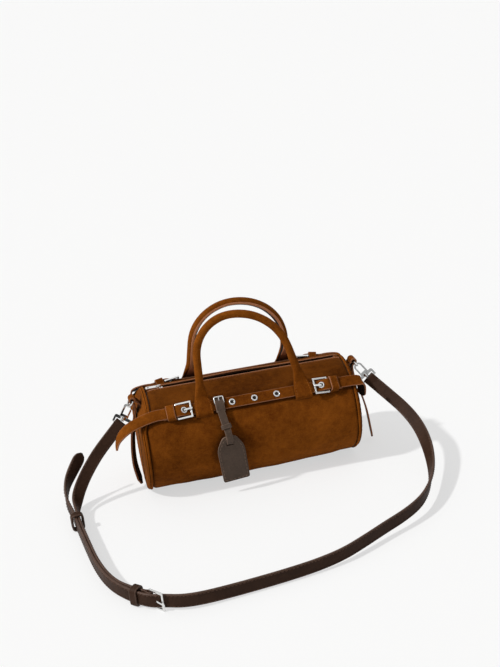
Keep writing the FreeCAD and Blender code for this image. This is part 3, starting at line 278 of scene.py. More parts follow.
# Rings and ring tabs, in millimetres, by side where they differ
RING = Vector((137.7, 0, 113.0))
HANG = Vector((0.56729, -0.30071, -0.76665))
EYE_BAR = 31.7
ROLL_RADIUS = 3.3
ROLL_TURNS = range(190, -106, -20)
ROOT_OUT = 5.0
ROLL_UNDER = ((136.2, 108.4), (135.9, 105.0), (136.3, 100.0))
ROOT_HEIGHTS = (103.5, 106.5, 109.5)
TAB_SECTION = (13.0, 2.2, 0.6)
TAIL_CLEAR = 4.0
TAIL_TIP = 8.0
TAIL_START = 35.0
TAIL_SHARES = (0.20, 0.42, 0.62, 0.82, 1.0)
TAIL_SWAYS = {1: (0.5, 9.0, 14.9, 17.9, 20.5), -1: (0.5, 4.9, 7.5, 7.6, 3.0)}
TAIL_FRONTS = {1: 0.0, -1: -7.0}
TAIL_TWISTS = {-1: math.radians(24), 1: math.radians(-11)}

# Tag, in millimetres
TAG_X = -37.2
TAG_LOOP_X = -41.0
TAG_LOOP = (8.3, 62.7, 66.4, 1.4)
TAG_LOOP_STRIP = (10.4, 1.2, 0.4)
TAG_COVER = ((3.4, 67.9), (2.6, 69.0), (0.4, 69.5), (-3.0, 69.0), (-6.5, 68.2), (-8.6, 67.2), (-9.6, 65.6))
TAG_COVER_SECTION = (10.4, 1.3, 0.5)
TAG_WIRE_OUT = 67.8
TAG_WIRE_HALF = (5.4, 4.2)
TAG_WIRE_CORNER = 1.5
TAG_WIRE_RING = (0.8, 0.75, 2.6, 12)
TAG_PRONG = ((0.2, 67.9), (3.0, 68.5), (6.0, 68.6), (8.2, 68.55), (8.9, 68.2))
TAG_PRONG_RING = (0.6, 0.5, 2.2, 10)
TAG_STRAP_TOP = ((-3.0, 67.6), (-6.5, 67.4))
TAG_FLEX = (-10.4, 66.6)
TAG_KNEE = (TAG_X - 0.4, -70.0, 78.5)
TAG_STRAP_DOWN = ((-70.0, 73.0), (-70.0, 66.5), (-68.8, 65.3), (-66.4, 65.3), (-65.6, 66.5), (-65.6, 73.0),
                  (-66.0, 80.0))
TAG_STRAP_SECTION = (8.8, 1.4, 0.5)
TAG_STRAP_NARROWING = 0.14
TAG_KEEPER_SHARE = 0.66
TAG_KEEPER_LOOP = (5.4, -1.6, 1.6, 1.0)
TAG_KEEPER_STRIP = (5.2, 1.4, 0.5)
TAG_TOP = 75.0
TAG_HALVES = ((7.6, 0.0), (16.4, 15.0), (15.9, 57.6))
TAG_CORNERS = (4.5, 6.0, 2.4, 2.4, 6.0, 4.5)
TAG_LEAN = math.radians(4.5)
TAG_HINGE = Vector((TAG_X, 66.0))
TAG_SLOT = ((-4.8, 63.3), (-4.8, 67.5), (4.8, 67.5), (4.8, 63.3))
TAG_FRONT, TAG_BACK = -69.0, -66.6
TAG_CORE, TAG_ROUND = 0.8, 0.4
TAG_STITCH_INSET = 2.3
TAG_STITCH_SCALE = 1.4

# Shoulder strap, in millimetres: route of the long and of the short piece from its clip
LONG_ROUTE = (
    (172.0, -30.0, 72.4), (185.4, -52.0, 58.9), (192.0, -76.0, 46.6), (190.8, -104.0, 35.9),
    (184.2, -132.0, 26.5), (174.0, -157.0, 20.6), (159.7, -179.0, 18.2), (143.4, -197.0, 16.6),
    (120.0, -212.0, 14.8), (92.5, -224.5, 12.8), (65.0, -238.5, 11.2), (38.0, -251.5, 10.0),
    (9.0, -259.5, 9.2), (-23.0, -264.5, 8.8), (-56.0, -268.5, 8.8), (-88.0, -272.0, 9.2),
    (-116.0, -274.5, 10.0), (-136.0, -272.7, 10.5), (-150.8, -266.1, 10.5), (-167.9, -260.5, 10.5),
    (-188.7, -237.6, 10.5), (-202.4, -213.1, 10.5), (-211.6, -179.1, 10.5), (-217.2, -140.7, 10.5),
    (-222.7, -98.4, 10.5), (-226.7, -62.5, 10.7), (-231.2, -47.0, 14.5), (-232.0, -35.0, 22.5),
    (-228.5, -25.5, 31.0), (-221.8, -17.5, 39.8), (-213.5, -10.0, 49.0), (-206.0, -4.5, 58.0),
)
SHORT_ROUTE = (
    (-181.6, -16.0, 66.0), (-197.0, -20.5, 49.0), (-209.5, -27.0, 33.5), (-219.3, -39.0, 19.8),
    (-223.5, -62.0, 10.8), (-219.5, -98.0, 10.5), (-214.0, -140.2, 10.5), (-208.5, -178.5, 10.5),
    (-199.5, -211.7, 10.5), (-186.4, -235.4, 10.5), (-163.683, -256.512, 10.5),
)

# Directions of the strap's width at the first route points, and at the last ones of the long piece
RIGHT_LEANS = ((0.83, 0, 0.50), (0.83, 0, 0.49), (0.83, 0, 0.49), (0.80, 0, 0.55), (0.68, 0, 0.68),
               (0.50, 0, 0.84), (0.30, 0, 0.95), (0.15, 0, 1))
LEFT_LEANS = ((-0.83, 0.33, 0.44), (-0.76, 0.34, 0.54), (-0.76, 0.34, 0.54), (-0.80, 0.25, 0.52),
              (-0.72, 0.10, 0.68))
TAIL_LEANS = ((-0.20, 0.08, 0.97), (-0.34, 0.17, 0.92), (-0.40, 0.20, 0.89))

# Strap's make, in millimetres: sections, cuts where a joint's bend ends, turned ends and keepers
STRAP_WIDTH = 15.0
STRAP_THICK = 2.8
STRAP_CORNER = 1.1
STRAP_TIP = 11.0
STRAP_STITCH_SCALE = 1.2
STRAP_STITCH_END = 10.0
STRAP_FINISHES = ("strap_leather", "strap_edge_paint", "strap_leather", "strap_thread")
STRAP_CUTS = {"right": (5.0, 26.0, 62.0, 128.0), "left": (5.0, 24.0, 54.0, 104.0)}
TURNED_SECTION = (STRAP_WIDTH, 1.4, 0.6)
TURNED_RADIUS = 2.2
TURNED_TURNS = range(75, 286, 15)
TURNED_END = ((9.5, 0.62), (6.0, 0.8), (3.0, 1.75))
HEEL_CLEAR = 4.5
STRAP_KEEPER_HEADING = math.radians(136.0)
STRAP_KEEPER_FROM = (-158.0, -262.0, 10.5)
STRAP_KEEPER_OFF = 24.0
STRAP_KEEPER_STRIP = (8.4, 2.4, 0.9)
STRAP_KEEPER_HALF = 9.2
STRAP_KEEPER_CORNER = 3.6
FIXED_KEEPER_REACH = (-3.4, 7.8)
SLIDING_KEEPER_REACH = (-4.4, 7.9)
SLIDE_ALONG = Vector((-0.11043, 0.99388, 0))

# Hardware: the metal nodes by the start of their names, and the softening of their edges in metres
METAL = ("buckle_front_", "buckle_rear_", "prong_", "d_ring_", "snap_hook_", "hook_gate_", "swivel_eye_",
         "zip_slider", "zip_pull", "zip_chain_", "strap_buckle", "strap_prong")
METAL_SOFT_EDGE = 0.00022


# Sizes and colours that a user would change

class BagSizes(bpy.types.PropertyGroup):
    """Sewing sizes of the soft goods"""
    stitch: FloatProperty(
        name="Stitch", description="Length of one stitch", default=0.0023, unit="LENGTH")
    pitch: FloatProperty(
        name="Stitch pitch", description="Distance between stitches", default=0.0034, unit="LENGTH")
    thread: FloatProperty(
        name="Thread", description="Radius of the sewing thread", default=0.00032, unit="LENGTH")
    margin: FloatProperty(
        name="Seam margin", description="Distance of a stitch row from its edge", default=0.0018,
        unit="LENGTH")
    swell: FloatProperty(
        name="Swell", description="Most that the barrel's suede moves from its pattern", default=0.0012,
        unit="LENGTH")
    frames: IntProperty(
        name="Cloth steps", description="Steps of the cloth simulation of the barrel", default=16)


class BagColours(bpy.types.PropertyGroup):
    """Base colours of the finishes"""
    suede_light: FloatVectorProperty(
        name="Suede, raised nap", description="Lighter tone of the suede", subtype="COLOR",
        default=(0.262, 0.074, 0.0066))
    suede_dark: FloatVectorProperty(
        name="Suede, flat nap", description="Darker tone of the suede", subtype="COLOR",
        default=(0.088, 0.0205, 0.0010))
    cut_edge: FloatVectorProperty(
        name="Cut edge", description="Colour of cut suede edges", subtype="COLOR",
        default=(0.29, 0.122, 0.060))
    # The backing's dark colour also fills the strip under the belts and the eyelet holes, both painted shade,
    # and partly the handle seam's groove
    backing: FloatVectorProperty(
        name="Backing", description="Colour of the backing of the belts", subtype="COLOR",
        default=(0.016, 0.012, 0.010))
    strap: FloatVectorProperty(
        name="Strap leather", description="Colour of the shoulder strap", subtype="COLOR",
        default=(0.037, 0.0175, 0.0100))
    tag: FloatVectorProperty(
        name="Tag leather", description="Colour of the tag", subtype="COLOR",
        default=(0.079, 0.052, 0.037))
    tape: FloatVectorProperty(
        name="Zip tape", description="Colour of the zip tapes", subtype="COLOR",
        default=(0.010, 0.008, 0.007))
    lining: FloatVectorProperty(
        name="Lining", description="Colour of the lining", subtype="COLOR",
        default=(0.055, 0.035, 0.022))
    chrome: FloatVectorProperty(
        name="Chrome", description="Colour of the hardware", subtype="COLOR",
        default=(0.80, 0.80, 0.79))


class StageSettings(bpy.types.PropertyGroup):
    """Light, floor and camera"""
    lens: FloatProperty(
        name="Lens", description="Focal length of the camera in millimetres", default=54.0)
    key: FloatProperty(
        name="Key light", description="Strength of the directional light", default=2.75)
    spread: FloatProperty(
        name="Key spread", description="Angle of the directional light's disc", default=0.06,
        subtype="ANGLE")
    fill: FloatProperty(
        name="Fill", description="Strength of the even light", default=0.56)
    floor: FloatVectorProperty(
        name="Floor", description="Colour of the floor", subtype="COLOR", default=(0.86, 0.86, 0.85))


# Mesh building

def mm(x, y, z):
    """Point given in millimetres, in metres."""
    return Vector((x, y, z)) * MM


def square_to(vector, direction):
    """Part of a vector square to a unit direction, with length one."""
    return (vector - direction * vector.dot(direction)).normalized()


def smooth_share(low, high, value):
    """Eased share of the way from low to high, from 0 to 1."""
    share = min(1.0, max(0.0, (value - low) / (high - low)))
    return share * share * (3 - 2 * share)


def tip_share(left, reach, depth, least):
    """Share of the full width where a tip rounds off, from the length left to its end."""
    if left > reach:
        return 1.0
    return math.sqrt(max(least, 1 - ((reach - left) / reach) ** 2 * depth))


def quads(rows, columns, closed=True):
    """Faces of a grid of points counted row by row, joined round where it is closed."""
    found = []
    for row in range(rows - 1):
        here, there = row * columns, (row + 1) * columns
        for column in range(columns if closed else columns - 1):
            after = (column + 1) % columns
            found.append((here + column, here + after, there + after, there + column))
    return found


class Build:
    """A mesh under construction, with the finish index of each face."""

    def __init__(self):
        self.points = []
        self.faces = []
        self.finish = []

    def add(self, points, faces, finish):
        """Add points and their faces, with one finish index for all or one for each."""
        start = len(self.points)
        self.points.extend(points)
        for number, face in enumerate(faces):
            self.faces.append([start + index for index in face])
            self.finish.append(finish if isinstance(finish, int) else finish[number])

    def sweep(self, stations, sections, tags, loop=False):
        """Run a closed section along stations of (centre, across, normal)."""
        count = len(tags)
        points = []
        for number, (centre, across, normal) in enumerate(stations):
            section = sections if isinstance(sections[0][0], float) else sections[number]
            points.extend(centre + across * u + normal * v for u, v in section)
        faces = []
        finish = []
        rings = len(stations)
        for ring in range(rings if loop else rings - 1):
            here, there = ring * count, (ring + 1) % rings * count
            for side in range(count):
                after = (side + 1) % count
                faces.append((here + side, here + after, there + after, there + side))
                finish.append(tags[side])
        if not loop:
            last = (rings - 1) * count
            faces.append(tuple(range(count - 1, -1, -1)))
            faces.append(tuple(range(last, last + count)))
            finish.extend((tags[0], tags[0]))
        self.add(points, faces, finish)

    def flat_run(self, line, across, section, tags):
        """Run a section along a line, with its width held in one direction."""
        stations = [(point, across, along.cross(across)) for point, along in zip(line, tangents_of(line))]
        self.sweep(stations, section, tags)

    def stitches(self, line, normals, sizes, finish=THREAD, scale=1.0):
        """Row of single stitches along a line of points."""
        walked = 0.0
        due = sizes.pitch * scale / 2
        for index in range(len(line) - 1):
            run = line[index + 1] - line[index]
            while run.length > 0 and due <= walked + run.length:
                share = (due - walked) / run.length
                normal = normals[index].lerp(normals[index + 1], share)
                self.stitch(line[index] + run * share, run.normalized(), normal.normalized(),
                            sizes.stitch * scale, sizes.thread * scale, finish)
                due += sizes.pitch * scale
            walked += run.length

    def stitch(self, centre, along, normal, length, thread, finish):
        """One stitch: a short thread with five sides that dips at both ends."""
        side = normal.cross(along)
        points = []
        dips = ((-0.5, -0.5, 0.6), (-0.25, 0.45, 1), (0.25, 0.45, 1), (0.5, -0.5, 0.6))
        for share, lift, girth in dips:
            middle = centre + along * (share * length) + normal * (lift * thread)
            for step in range(5):
                turn = math.tau * step / 5
                round_it = side * math.cos(turn) + normal * math.sin(turn)
                points.append(middle + round_it * (thread * girth))
        faces = quads(len(dips), 5) + [(4, 3, 2, 1, 0), (15, 16, 17, 18, 19)]
        self.add(points, faces, finish)

    def object(self, name, materials):
        """Finished object with smooth faces and outward normals."""
        mesh = bpy.data.meshes.new(name)
        mesh.from_pydata([tuple(point) for point in self.points], [], self.faces)
        for material in materials:
            mesh.materials.append(material)
        mesh.polygons.foreach_set("material_index", self.finish)
        work = bmesh.new()
        work.from_mesh(mesh)
        bmesh.ops.recalc_face_normals(work, faces=work.faces)
        work.to_mesh(mesh)
        work.free()
        mesh.shade_smooth()
        mesh.set_sharp_from_angle(angle=SHARP_EDGE)
        return linked(name, mesh)


def linked(name, data):
    """New object in the scene."""
    piece = bpy.data.objects.new(name, data)
    bpy.context.scene.collection.objects.link(piece)
    return piece


def hide_piece(name, points, faces):
    """Open sheet of the barrel's hide, with its faces turned away from the barrel's middle."""
    mesh = bpy.data.meshes.new(name)
    mesh.from_pydata([tuple(point) for point in points], [], faces)
    work = bmesh.new()
    work.from_mesh(mesh)
    loose = [vert for vert in work.verts if not vert.link_faces]
    bmesh.ops.delete(work, geom=loose, context="VERTS")
    bmesh.ops.recalc_face_normals(work, faces=work.faces)
    middle = mm(0, 0, AXIS_HEIGHT)
    if sum(face.normal.dot(face.calc_center_median() - middle) for face in work.faces) < 0:
        bmesh.ops.reverse_faces(work, faces=work.faces)
    work.to_mesh(mesh)
    work.free()
    mesh.shade_smooth()
    return linked(name, mesh)


def thicken(piece, name, thickness, offset=-1):
    """Give a sheet its thickness in metres, inward unless the offset says otherwise."""
    skin = piece.modifiers.new(name, "SOLIDIFY")
    skin.thickness = thickness
    skin.offset = offset
    return skin


def soften(piece, name, width, angle):
    """Round the edges that are sharper than an angle in degrees."""
    soft = piece.modifiers.new(name, "BEVEL")
    soft.width = width
    soft.segments = 2
    soft.limit_method = "ANGLE"
    soft.angle_limit = math.radians(angle)


def strap_section(width, thick, corner, bend=0.0, spans=6, steps=3):
    """Rounded flat section and the tag of each of its sides, in metres."""
    half, skin = width * MM / 2, thick * MM / 2
    corner = min(corner * MM, skin)
    points, tags = [], []
    inner_u, inner_v = half - corner, skin - corner
    corners = ((inner_u, -inner_v, -0.5), (inner_u, inner_v, 0.0), None,
               (-inner_u, inner_v, 0.5), (-inner_u, -inner_v, 1.0), None)
    for number, place in enumerate(corners):
        if place is None:
            sign = 1 if number == 2 else -1
            for span in range(spans):
                points.append((sign * inner_u * (1 - 2 * span / spans), sign * skin))
                tags.append(FACE if sign > 0 else BACK)
            continue
        for step in range(steps):
            turn = math.pi * (place[2] + 0.5 * step / steps)
            points.append((place[0] + corner * math.cos(turn), place[1] + corner * math.sin(turn)))
            tags.append(EDGE)
    if bend:
        points = [(u, v - u * u / (2 * bend * MM)) for u, v in points]
    return points, tags


def soft_ring(half_width, half_thick, squareness, count=HANDLE_SIDES):
    """Section between a round and a rounded flat one, in metres."""
    points = []
    for step in range(count):
        turn = math.tau * step / count
        cosine, sine = math.cos(turn), math.sin(turn)
        points.append((half_width * MM * math.copysign(abs(cosine) ** (2 / squareness), cosine),
                       half_thick * MM * math.copysign(abs(sine) ** (2 / squareness), sine)))
    return points


def spline_points(points, resolution):
    """Points along the smooth spline that has the given points as its control points."""
    curve = bpy.data.curves.new("route", "CURVE")
    curve.dimensions = "3D"
    spline = curve.splines.new("NURBS")
    spline.points.add(len(points) - 1)
    for place, point in zip(spline.points, points):
        place.co = (*point, 1.0)
    spline.order_u = 3
    spline.use_endpoint_u = True
    spline.resolution_u = resolution
    holder = linked("route", curve)
    mesh = bpy.data.meshes.new_from_object(holder)
    found = [vertex.co.copy() for vertex in mesh.vertices]
    bpy.data.objects.remove(holder)
    bpy.data.curves.remove(curve)
    bpy.data.meshes.remove(mesh)
    return found


def tangents_of(line):
    """Unit direction at each point of a line."""
    last = len(line) - 1
    return [(line[min(last, i + 1)] - line[max(0, i - 1)]).normalized() for i in range(last + 1)]


def lengths_of(line):
    """Distance walked at each point of a line."""
    walked = [0.0]
    for before, after in zip(line, line[1:]):
        walked.append(walked[-1] + (after - before).length)
    return walked


def belt_frame(rear):
    """Matrix from the flat belt frame (x, across, out) to the bag's frame."""
    front = Matrix.Translation((0, 0, AXIS_HEIGHT * MM)) @ Matrix.Rotation(BELT_ANGLE, 4, "X")
    return Matrix.Rotation(math.pi, 4, "Z") @ front if rear else front


def side_names(rear):
    """Side of the flat belt frame and the name of that end of the bag."""
    names = {1: "right", -1: "left"}
    return [(side, "rear_" + names[-side] if rear else "front_" + names[side]) for side in (-1, 1)]


def ring_runs(line):
    """Unit direction at each point of a closed line."""
    count = len(line)
    return [(line[(index + 1) % count] - line[index - 1]).normalized() for index in range(count)]


def band(build, place, strip, path, loop=True):
    """Flat band of (width, thickness, corner) along a path in the place's own YZ plane, in millimetres."""
    section, tags = strap_section(*strip)
    axis = place.to_3x3() @ X_AXIS
    line = [place @ mm(0, a, b) for a, b in path]
    runs = ring_runs(line) if loop else tangents_of(line)
    build.sweep([(point, axis, run.cross(axis)) for point, run in zip(line, runs)], section, tags, loop)


def round_loop(half_a, low_b, high_b, corner, steps=5):
    """Rounded rectangle of (a, b) millimetres, counted round once."""
    path = []
    corners = ((half_a, low_b, -0.5), (half_a, high_b, 0), (-half_a, high_b, 0.5), (-half_a, low_b, 1))
    for a, b, start in corners:
        centre_a = a - math.copysign(corner, a)
        centre_b = b + corner if b == low_b else b - corner
        for step in range(steps + 1):
            turn = math.pi * (start + 0.5 * step / steps)
            path.append((centre_a + corner * math.cos(turn), centre_b + corner * math.sin(turn)))
    return path


# Finishes

FINISHES = {}


def node_maker(tree):
    """Helper that adds a node to a tree, sets its sockets or properties and links it."""
    def node(kind, links=(), **values):
        made = tree.nodes.new(kind)
        for key, value in values.items():
            if key in made.inputs.keys():
                made.inputs[key].default_value = value
            else:
                setattr(made, key, value)
        for source, socket in links:
            tree.links.new(source, made.inputs[socket])
        return made
    return node


def finish_base(name, roughness, specular=0.3):
    """New finish: its node tree, its shader and a helper that adds nodes."""
    material = bpy.data.materials.new(name)
    material.use_nodes = True
    tree = material.node_tree
    shader = tree.nodes["Principled BSDF"]
    shader.inputs["Roughness"].default_value = roughness
    shader.inputs["Specular IOR Level"].default_value = specular
    FINISHES[name] = material
    return tree, shader, node_maker(tree)


def ranged(node, source, low, high, least=0.0, most=1.0):
    """Socket with a value mapped from low to high onto least to most."""
    made = node("ShaderNodeMapRange", [(source, "Value")])
    for socket, value in zip(("From Min", "From Max", "To Min", "To Max"), (low, high, least, most)):
        made.inputs[socket].default_value = value
    return made.outputs["Result"]


def colours_of(sockets):
    """Colour sockets among those of a mix."""
    return [socket for socket in sockets if socket.type == "RGBA"]


def scaled(colour, factor, lift=0.0):
    """Colour made darker or lighter."""
    return [part * factor + lift for part in colour]


def toned(node, coordinates, dark, light, grains):
    """Colour that wanders between two tones by several noises, and the noises."""
    total = None
    made = []
    for scale, detail, weight in grains:
        grain = node("ShaderNodeTexNoise", [(coordinates, "Vector")],
                     Scale=scale, Detail=detail, Roughness=0.6)
        made.append(grain.outputs["Fac"])
        part = node("ShaderNodeMath", [(made[-1], 0)], operation="MULTIPLY_ADD")
        part.inputs[1].default_value = weight
        part.inputs[2].default_value = -weight / 2
        if total is not None:
            part = node("ShaderNodeMath", [(total, 0), (part.outputs[0], 1)], operation="ADD")
        total = part.outputs[0]
    share = ranged(node, total, -TONE_REACH, TONE_REACH)
    mix = node("ShaderNodeMix", [(share, "Factor")], data_type="RGBA")
    for socket, tone in zip(colours_of(mix.inputs), (dark, light)):
        socket.default_value = (*tone, 1)
    return colours_of(mix.outputs)[0], made


def roughened(tree, node, shader, heights):
    """Chain of bumps from (height socket, distance, strength)."""
    before = None
    for height, distance, strength in heights:
        bump = node("ShaderNodeBump", [(height, "Height")], Distance=distance, Strength=strength)
        if before is not None:
            tree.links.new(before.outputs["Normal"], bump.inputs["Normal"])
        before = bump
    tree.links.new(before.outputs["Normal"], shader.inputs["Normal"])


def make_suede(name, dark, light, nap_depth=0.0005, painted_top_shade=None):
    """Napped suede, darkened as painted shade from one height to another, down to a share, when those are
    given.
    """
    tree, shader, node = finish_base(name, 0.92, 0.04)
    shader.inputs["Sheen Weight"].default_value = 0.16
    shader.inputs["Sheen Roughness"].default_value = 0.45
    shader.inputs["Sheen Tint"].default_value = SHEEN_TINT
    place = node("ShaderNodeTexCoord").outputs["Object"]
    colour, grains = toned(node, place, dark, light, SUEDE_GRAINS)
    # Painted shade: darker from the low height to the high one, down to the given share
    if painted_top_shade is not None:
        low, high, least = painted_top_shade
        height = node("ShaderNodeSeparateXYZ", [(place, "Vector")]).outputs["Z"]
        share = ranged(node, height, low * MM, high * MM, 1.0, least)
        colour = node("ShaderNodeHueSaturation", [(colour, "Color"), (share, "Value")]).outputs["Color"]
    # Painted shade: ambient occlusion darkens the colour in creases, recesses and between parts
    painted_crease_shade = node("ShaderNodeAmbientOcclusion", [(colour, "Color")], Distance=0.010, samples=6)
    # Convex edges turn lighter: partly rubbed wear, partly a painted highlight
    convex_share = ranged(node, node("ShaderNodeNewGeometry").outputs["Pointiness"], 0.52, 0.66, 0.0, 0.55)
    wear_and_highlight = node("ShaderNodeMix", [(convex_share, "Factor")], data_type="RGBA")
    kept, worn_lit_tone = colours_of(wear_and_highlight.inputs)
    tree.links.new(painted_crease_shade.outputs["Color"], kept)
    worn_lit_tone.default_value = (*[min(1.0, part) for part in scaled(light, 1.75)], 1)
    tree.links.new(colours_of(wear_and_highlight.outputs)[0], shader.inputs["Base Color"])
    roughened(tree, node, shader, ((grains[4], nap_depth, 0.60), (grains[3], nap_depth, 0.40),
                                   (grains[2], 0.0012, 0.18)))


def make_leather(name, colour, pebble, depth, roughness, gloss=0.18):
    """Pebbled leather, with its gloss broken by the grain."""
    tree, shader, node = finish_base(name, roughness, gloss)
    place = node("ShaderNodeTexCoord").outputs["Object"]
    tone, grains = toned(node, place, scaled(colour, 0.72), scaled(colour, 1.32), LEATHER_GRAINS)
    tree.links.new(tone, shader.inputs["Base Color"])
    cells = node("ShaderNodeTexVoronoi", [(place, "Vector")],
                 Scale=pebble, feature="SMOOTH_F1", Smoothness=0.4)
    shine = ranged(node, grains[1], 0.0, 1.0, roughness - 0.07, roughness + 0.10)
    tree.links.new(shine, shader.inputs["Roughness"])
    roughened(tree, node, shader, ((cells.outputs["Distance"], depth, 0.6), (grains[2], depth, 0.3)))


def make_woven(name, colour, thread):
    """Woven cloth or thread, with crossing ribs."""
    tree, shader, node = finish_base(name, 0.85, 0.2)
    place = node("ShaderNodeTexCoord").outputs["Object"]
    tone, grains = toned(node, place, scaled(colour, 0.6), scaled(colour, 1.5), WOVEN_GRAINS)
    tree.links.new(tone, shader.inputs["Base Color"])
    ribs = [node("ShaderNodeTexWave", [(place, "Vector")], Scale=thread, Distortion=0.8,
                 bands_direction=direction).outputs["Fac"] for direction in ("X", "Y")]
    both = node("ShaderNodeMath", [(ribs[0], 0), (ribs[1], 1)], operation="MULTIPLY")
    roughened(tree, node, shader, ((both.outputs[0], 0.0003, 0.7), (grains[1], 0.0002, 0.3)))


def make_chrome(name, colour):
    """Polished metal with faint wear."""
    tree, shader, node = finish_base(name, 0.08, 0.5)
    shader.inputs["Metallic"].default_value = 1.0
    place = node("ShaderNodeTexCoord").outputs["Object"]
    tone, grains = toned(node, place, scaled(colour, 0.93), colour, CHROME_GRAINS)
    tree.links.new(tone, shader.inputs["Base Color"])
    tree.links.new(ranged(node, grains[1], 0.0, 1.0, 0.05, 0.15), shader.inputs["Roughness"])
    roughened(tree, node, shader, ((grains[1], 0.00005, 0.15),))


def make_finishes(colours):
    """All finishes of the bag from the user's colours."""
    light, dark, edge = colours.suede_light, colours.suede_dark, colours.cut_edge
    make_suede("suede", dark, light)
    # The barrel's suede is darkened towards its top as painted shade
    make_suede("barrel_suede_shaded_top", dark, light, painted_top_shade=PAINTED_TOP_SHADE)
    make_suede("suede_cut_edge", scaled(edge, 0.8), scaled(edge, 1.15), 0.0003)
    make_suede("seam_cut_edge", scaled(edge, 1.55), scaled(edge, 2.15), 0.0003)
    make_leather("belt_backing", colours.backing, 1300, 0.00010, 0.55)
    make_leather("strap_leather", colours.strap, 1500, 0.00020, 0.50, 0.08)
    make_leather("strap_edge_paint", scaled(colours.strap, 1.7, 0.012), 900, 0.00006, 0.40)
    make_leather("tag_leather", colours.tag, 1700, 0.00012, 0.50)
    make_leather("tag_edge_paint", scaled(colours.tag, 2.1), 900, 0.00006, 0.45)
    make_woven("zip_tape", colours.tape, 900)
    make_woven("lining_cloth", colours.lining, 500)
    make_woven("board_cover", scaled(colours.lining, 0.8), 350)
    make_chrome("chrome", colours.chrome)
    make_chrome("zip_teeth", scaled(colours.chrome, 0.10))
    make_woven("suede_thread", scaled(light, 1.15), 2500)
    make_woven("leather_thread", scaled(colours.tag, 1.9), 2500)
    make_woven("strap_thread", scaled(colours.strap, 2.0, 0.012), 2500)


def finishes(*names):
    """Materials by name, made on first use."""
    if "suede" not in FINISHES:
        make_finishes(bpy.context.scene.bag_colours)
    return [FINISHES[name] for name in names]


def dress(piece, body, slot, *nodes):
    """Put a piece on its body in place of its solids."""
    if body:
        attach(piece, body)
    if nodes:
        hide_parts(*nodes)
    return piece


# Stage

class StageOperator(bpy.types.Operator):
    """Camera at the photograph's angle, pale floor and soft studio light"""
    bl_idname = "bag.stage"
    bl_label = "Stage"

    def execute(self, context):
        settings = context.scene.bag_stage
        self.make_camera(context, settings)
        self.make_floor(settings)
        self.make_key(settings)
        self.make_studio(context, settings)
        context.scene.view_settings.view_transform = "Standard"
        return {"FINISHED"}

    def make_camera(self, context, settings):
        """Camera that stands where the photograph was taken."""
        camera = linked("camera", bpy.data.cameras.new("camera"))
        camera.data.lens = settings.lens
        camera.data.sensor_fit = "VERTICAL"
        camera.data.sensor_height = FILM_HEIGHT
        camera.data.clip_start = CAMERA_NEAR
        turn = Matrix(CAMERA_AXES).transposed().to_4x4()
        camera.matrix_world = Matrix.Translation(CAMERA_PLACE) @ turn
        context.scene.camera = camera

    def make_floor(self, settings):
        """Wide pale floor that looks nearly white to the camera and keeps the shadow."""
        mesh = bpy.data.meshes.new("floor")
        corners = [(x * FLOOR_REACH, y * FLOOR_REACH, 0) for x, y in ((-1, -1), (1, -1), (1, 1), (-1, 1))]
        mesh.from_pydata(corners, [], [(0, 1, 2, 3)])
        floor = linked("floor", mesh)
        tree, shader, node = finish_base("floor_paint", 0.8, 0.1)
        shader.inputs["Base Color"].default_value = (*settings.floor, 1)
        path = node("ShaderNodeLightPath")
        glow = node("ShaderNodeEmission", Strength=1.0)
        seen = node("ShaderNodeMath", operation="MAXIMUM",
                    links=[(path.outputs["Is Camera Ray"], 0), (path.outputs["Is Glossy Ray"], 1)])
        share = node("ShaderNodeMath", [(seen.outputs[0], 0)], operation="MULTIPLY")
        share.inputs[1].default_value = FLOOR_GLOW
        mix = node("ShaderNodeMixShader",
                   [(share.outputs[0], "Fac"), (shader.outputs[0], 1), (glow.outputs[0], 2)])
        tree.links.new(mix.outputs[0], tree.nodes["Material Output"].inputs["Surface"])
        mesh.materials.append(FINISHES["floor_paint"])

    def make_key(self, settings):
        """Directional light from the left that passes the handles."""
        sun = linked("key_light", bpy.data.lights.new("key_light", "SUN"))
        sun.data.energy = settings.key
        sun.data.angle = settings.spread
        sun.rotation_mode = "QUATERNION"
        sun.rotation_quaternion = KEY_FROM.to_track_quat("Z", "Y")
        sun.light_linking.blocker_collection = bpy.data.collections.new(KEY_PASSES)

    def make_studio(self, context, settings):
        """Even light, banded panels that only the metal mirrors, and a white backdrop."""
        world = bpy.data.worlds.new("studio")
        context.scene.world = world
        world.use_nodes = True
        tree = world.node_tree
        node = node_maker(tree)
        even = tree.nodes["Background"]
        path = node("ShaderNodeLightPath")
        level = ranged(node, path.outputs["Is Glossy Ray"], 0.0, 1.0, settings.fill)
        tree.links.new(level, even.inputs["Strength"])
        parts = node("ShaderNodeSeparateXYZ", [(node("ShaderNodeTexCoord").outputs["Generated"], 0)])
        tilt = node("ShaderNodeMath", [(parts.outputs["Y"], 0), (parts.outputs["Z"], 2)],
                    operation="MULTIPLY_ADD")
        tilt.inputs[1].default_value = STUDIO_TILT
        ramp = node("ShaderNodeValToRGB", [(tilt.outputs[0], "Fac")])
        elements = ramp.color_ramp.elements
        for height, _ in STUDIO_TONES[2:]:
            elements.new(height)
        in_order = sorted(elements, key=lambda one: one.position)
        for element, (height, tone) in zip(in_order, STUDIO_TONES):
            element.position = height
            element.color = (tone, tone, tone, 1)
        tree.links.new(ramp.outputs["Color"], even.inputs["Color"])
        white = node("ShaderNodeBackground", Color=BACKDROP)
        mix = node("ShaderNodeMixShader",
                   [(path.outputs["Is Camera Ray"], "Fac"), (even.outputs[0], 1), (white.outputs[0], 2)])
        tree.links.new(mix.outputs[0], tree.nodes["World Output"].inputs["Surface"])


# Shoulder strap

def strap_stations(points, leans):
    """Stations of a strap along its smooth route, with its width turned as the leans say."""
    line = spline_points([Vector(point) * MM for point in points], 8)
    turned = spline_points(leans, 8)
    stations = []
    for centre, lean, along in zip(line, turned, tangents_of(line)):
        across = square_to(Vector(lean), along)
        stations.append((centre, across, along.cross(across)))
    return stations


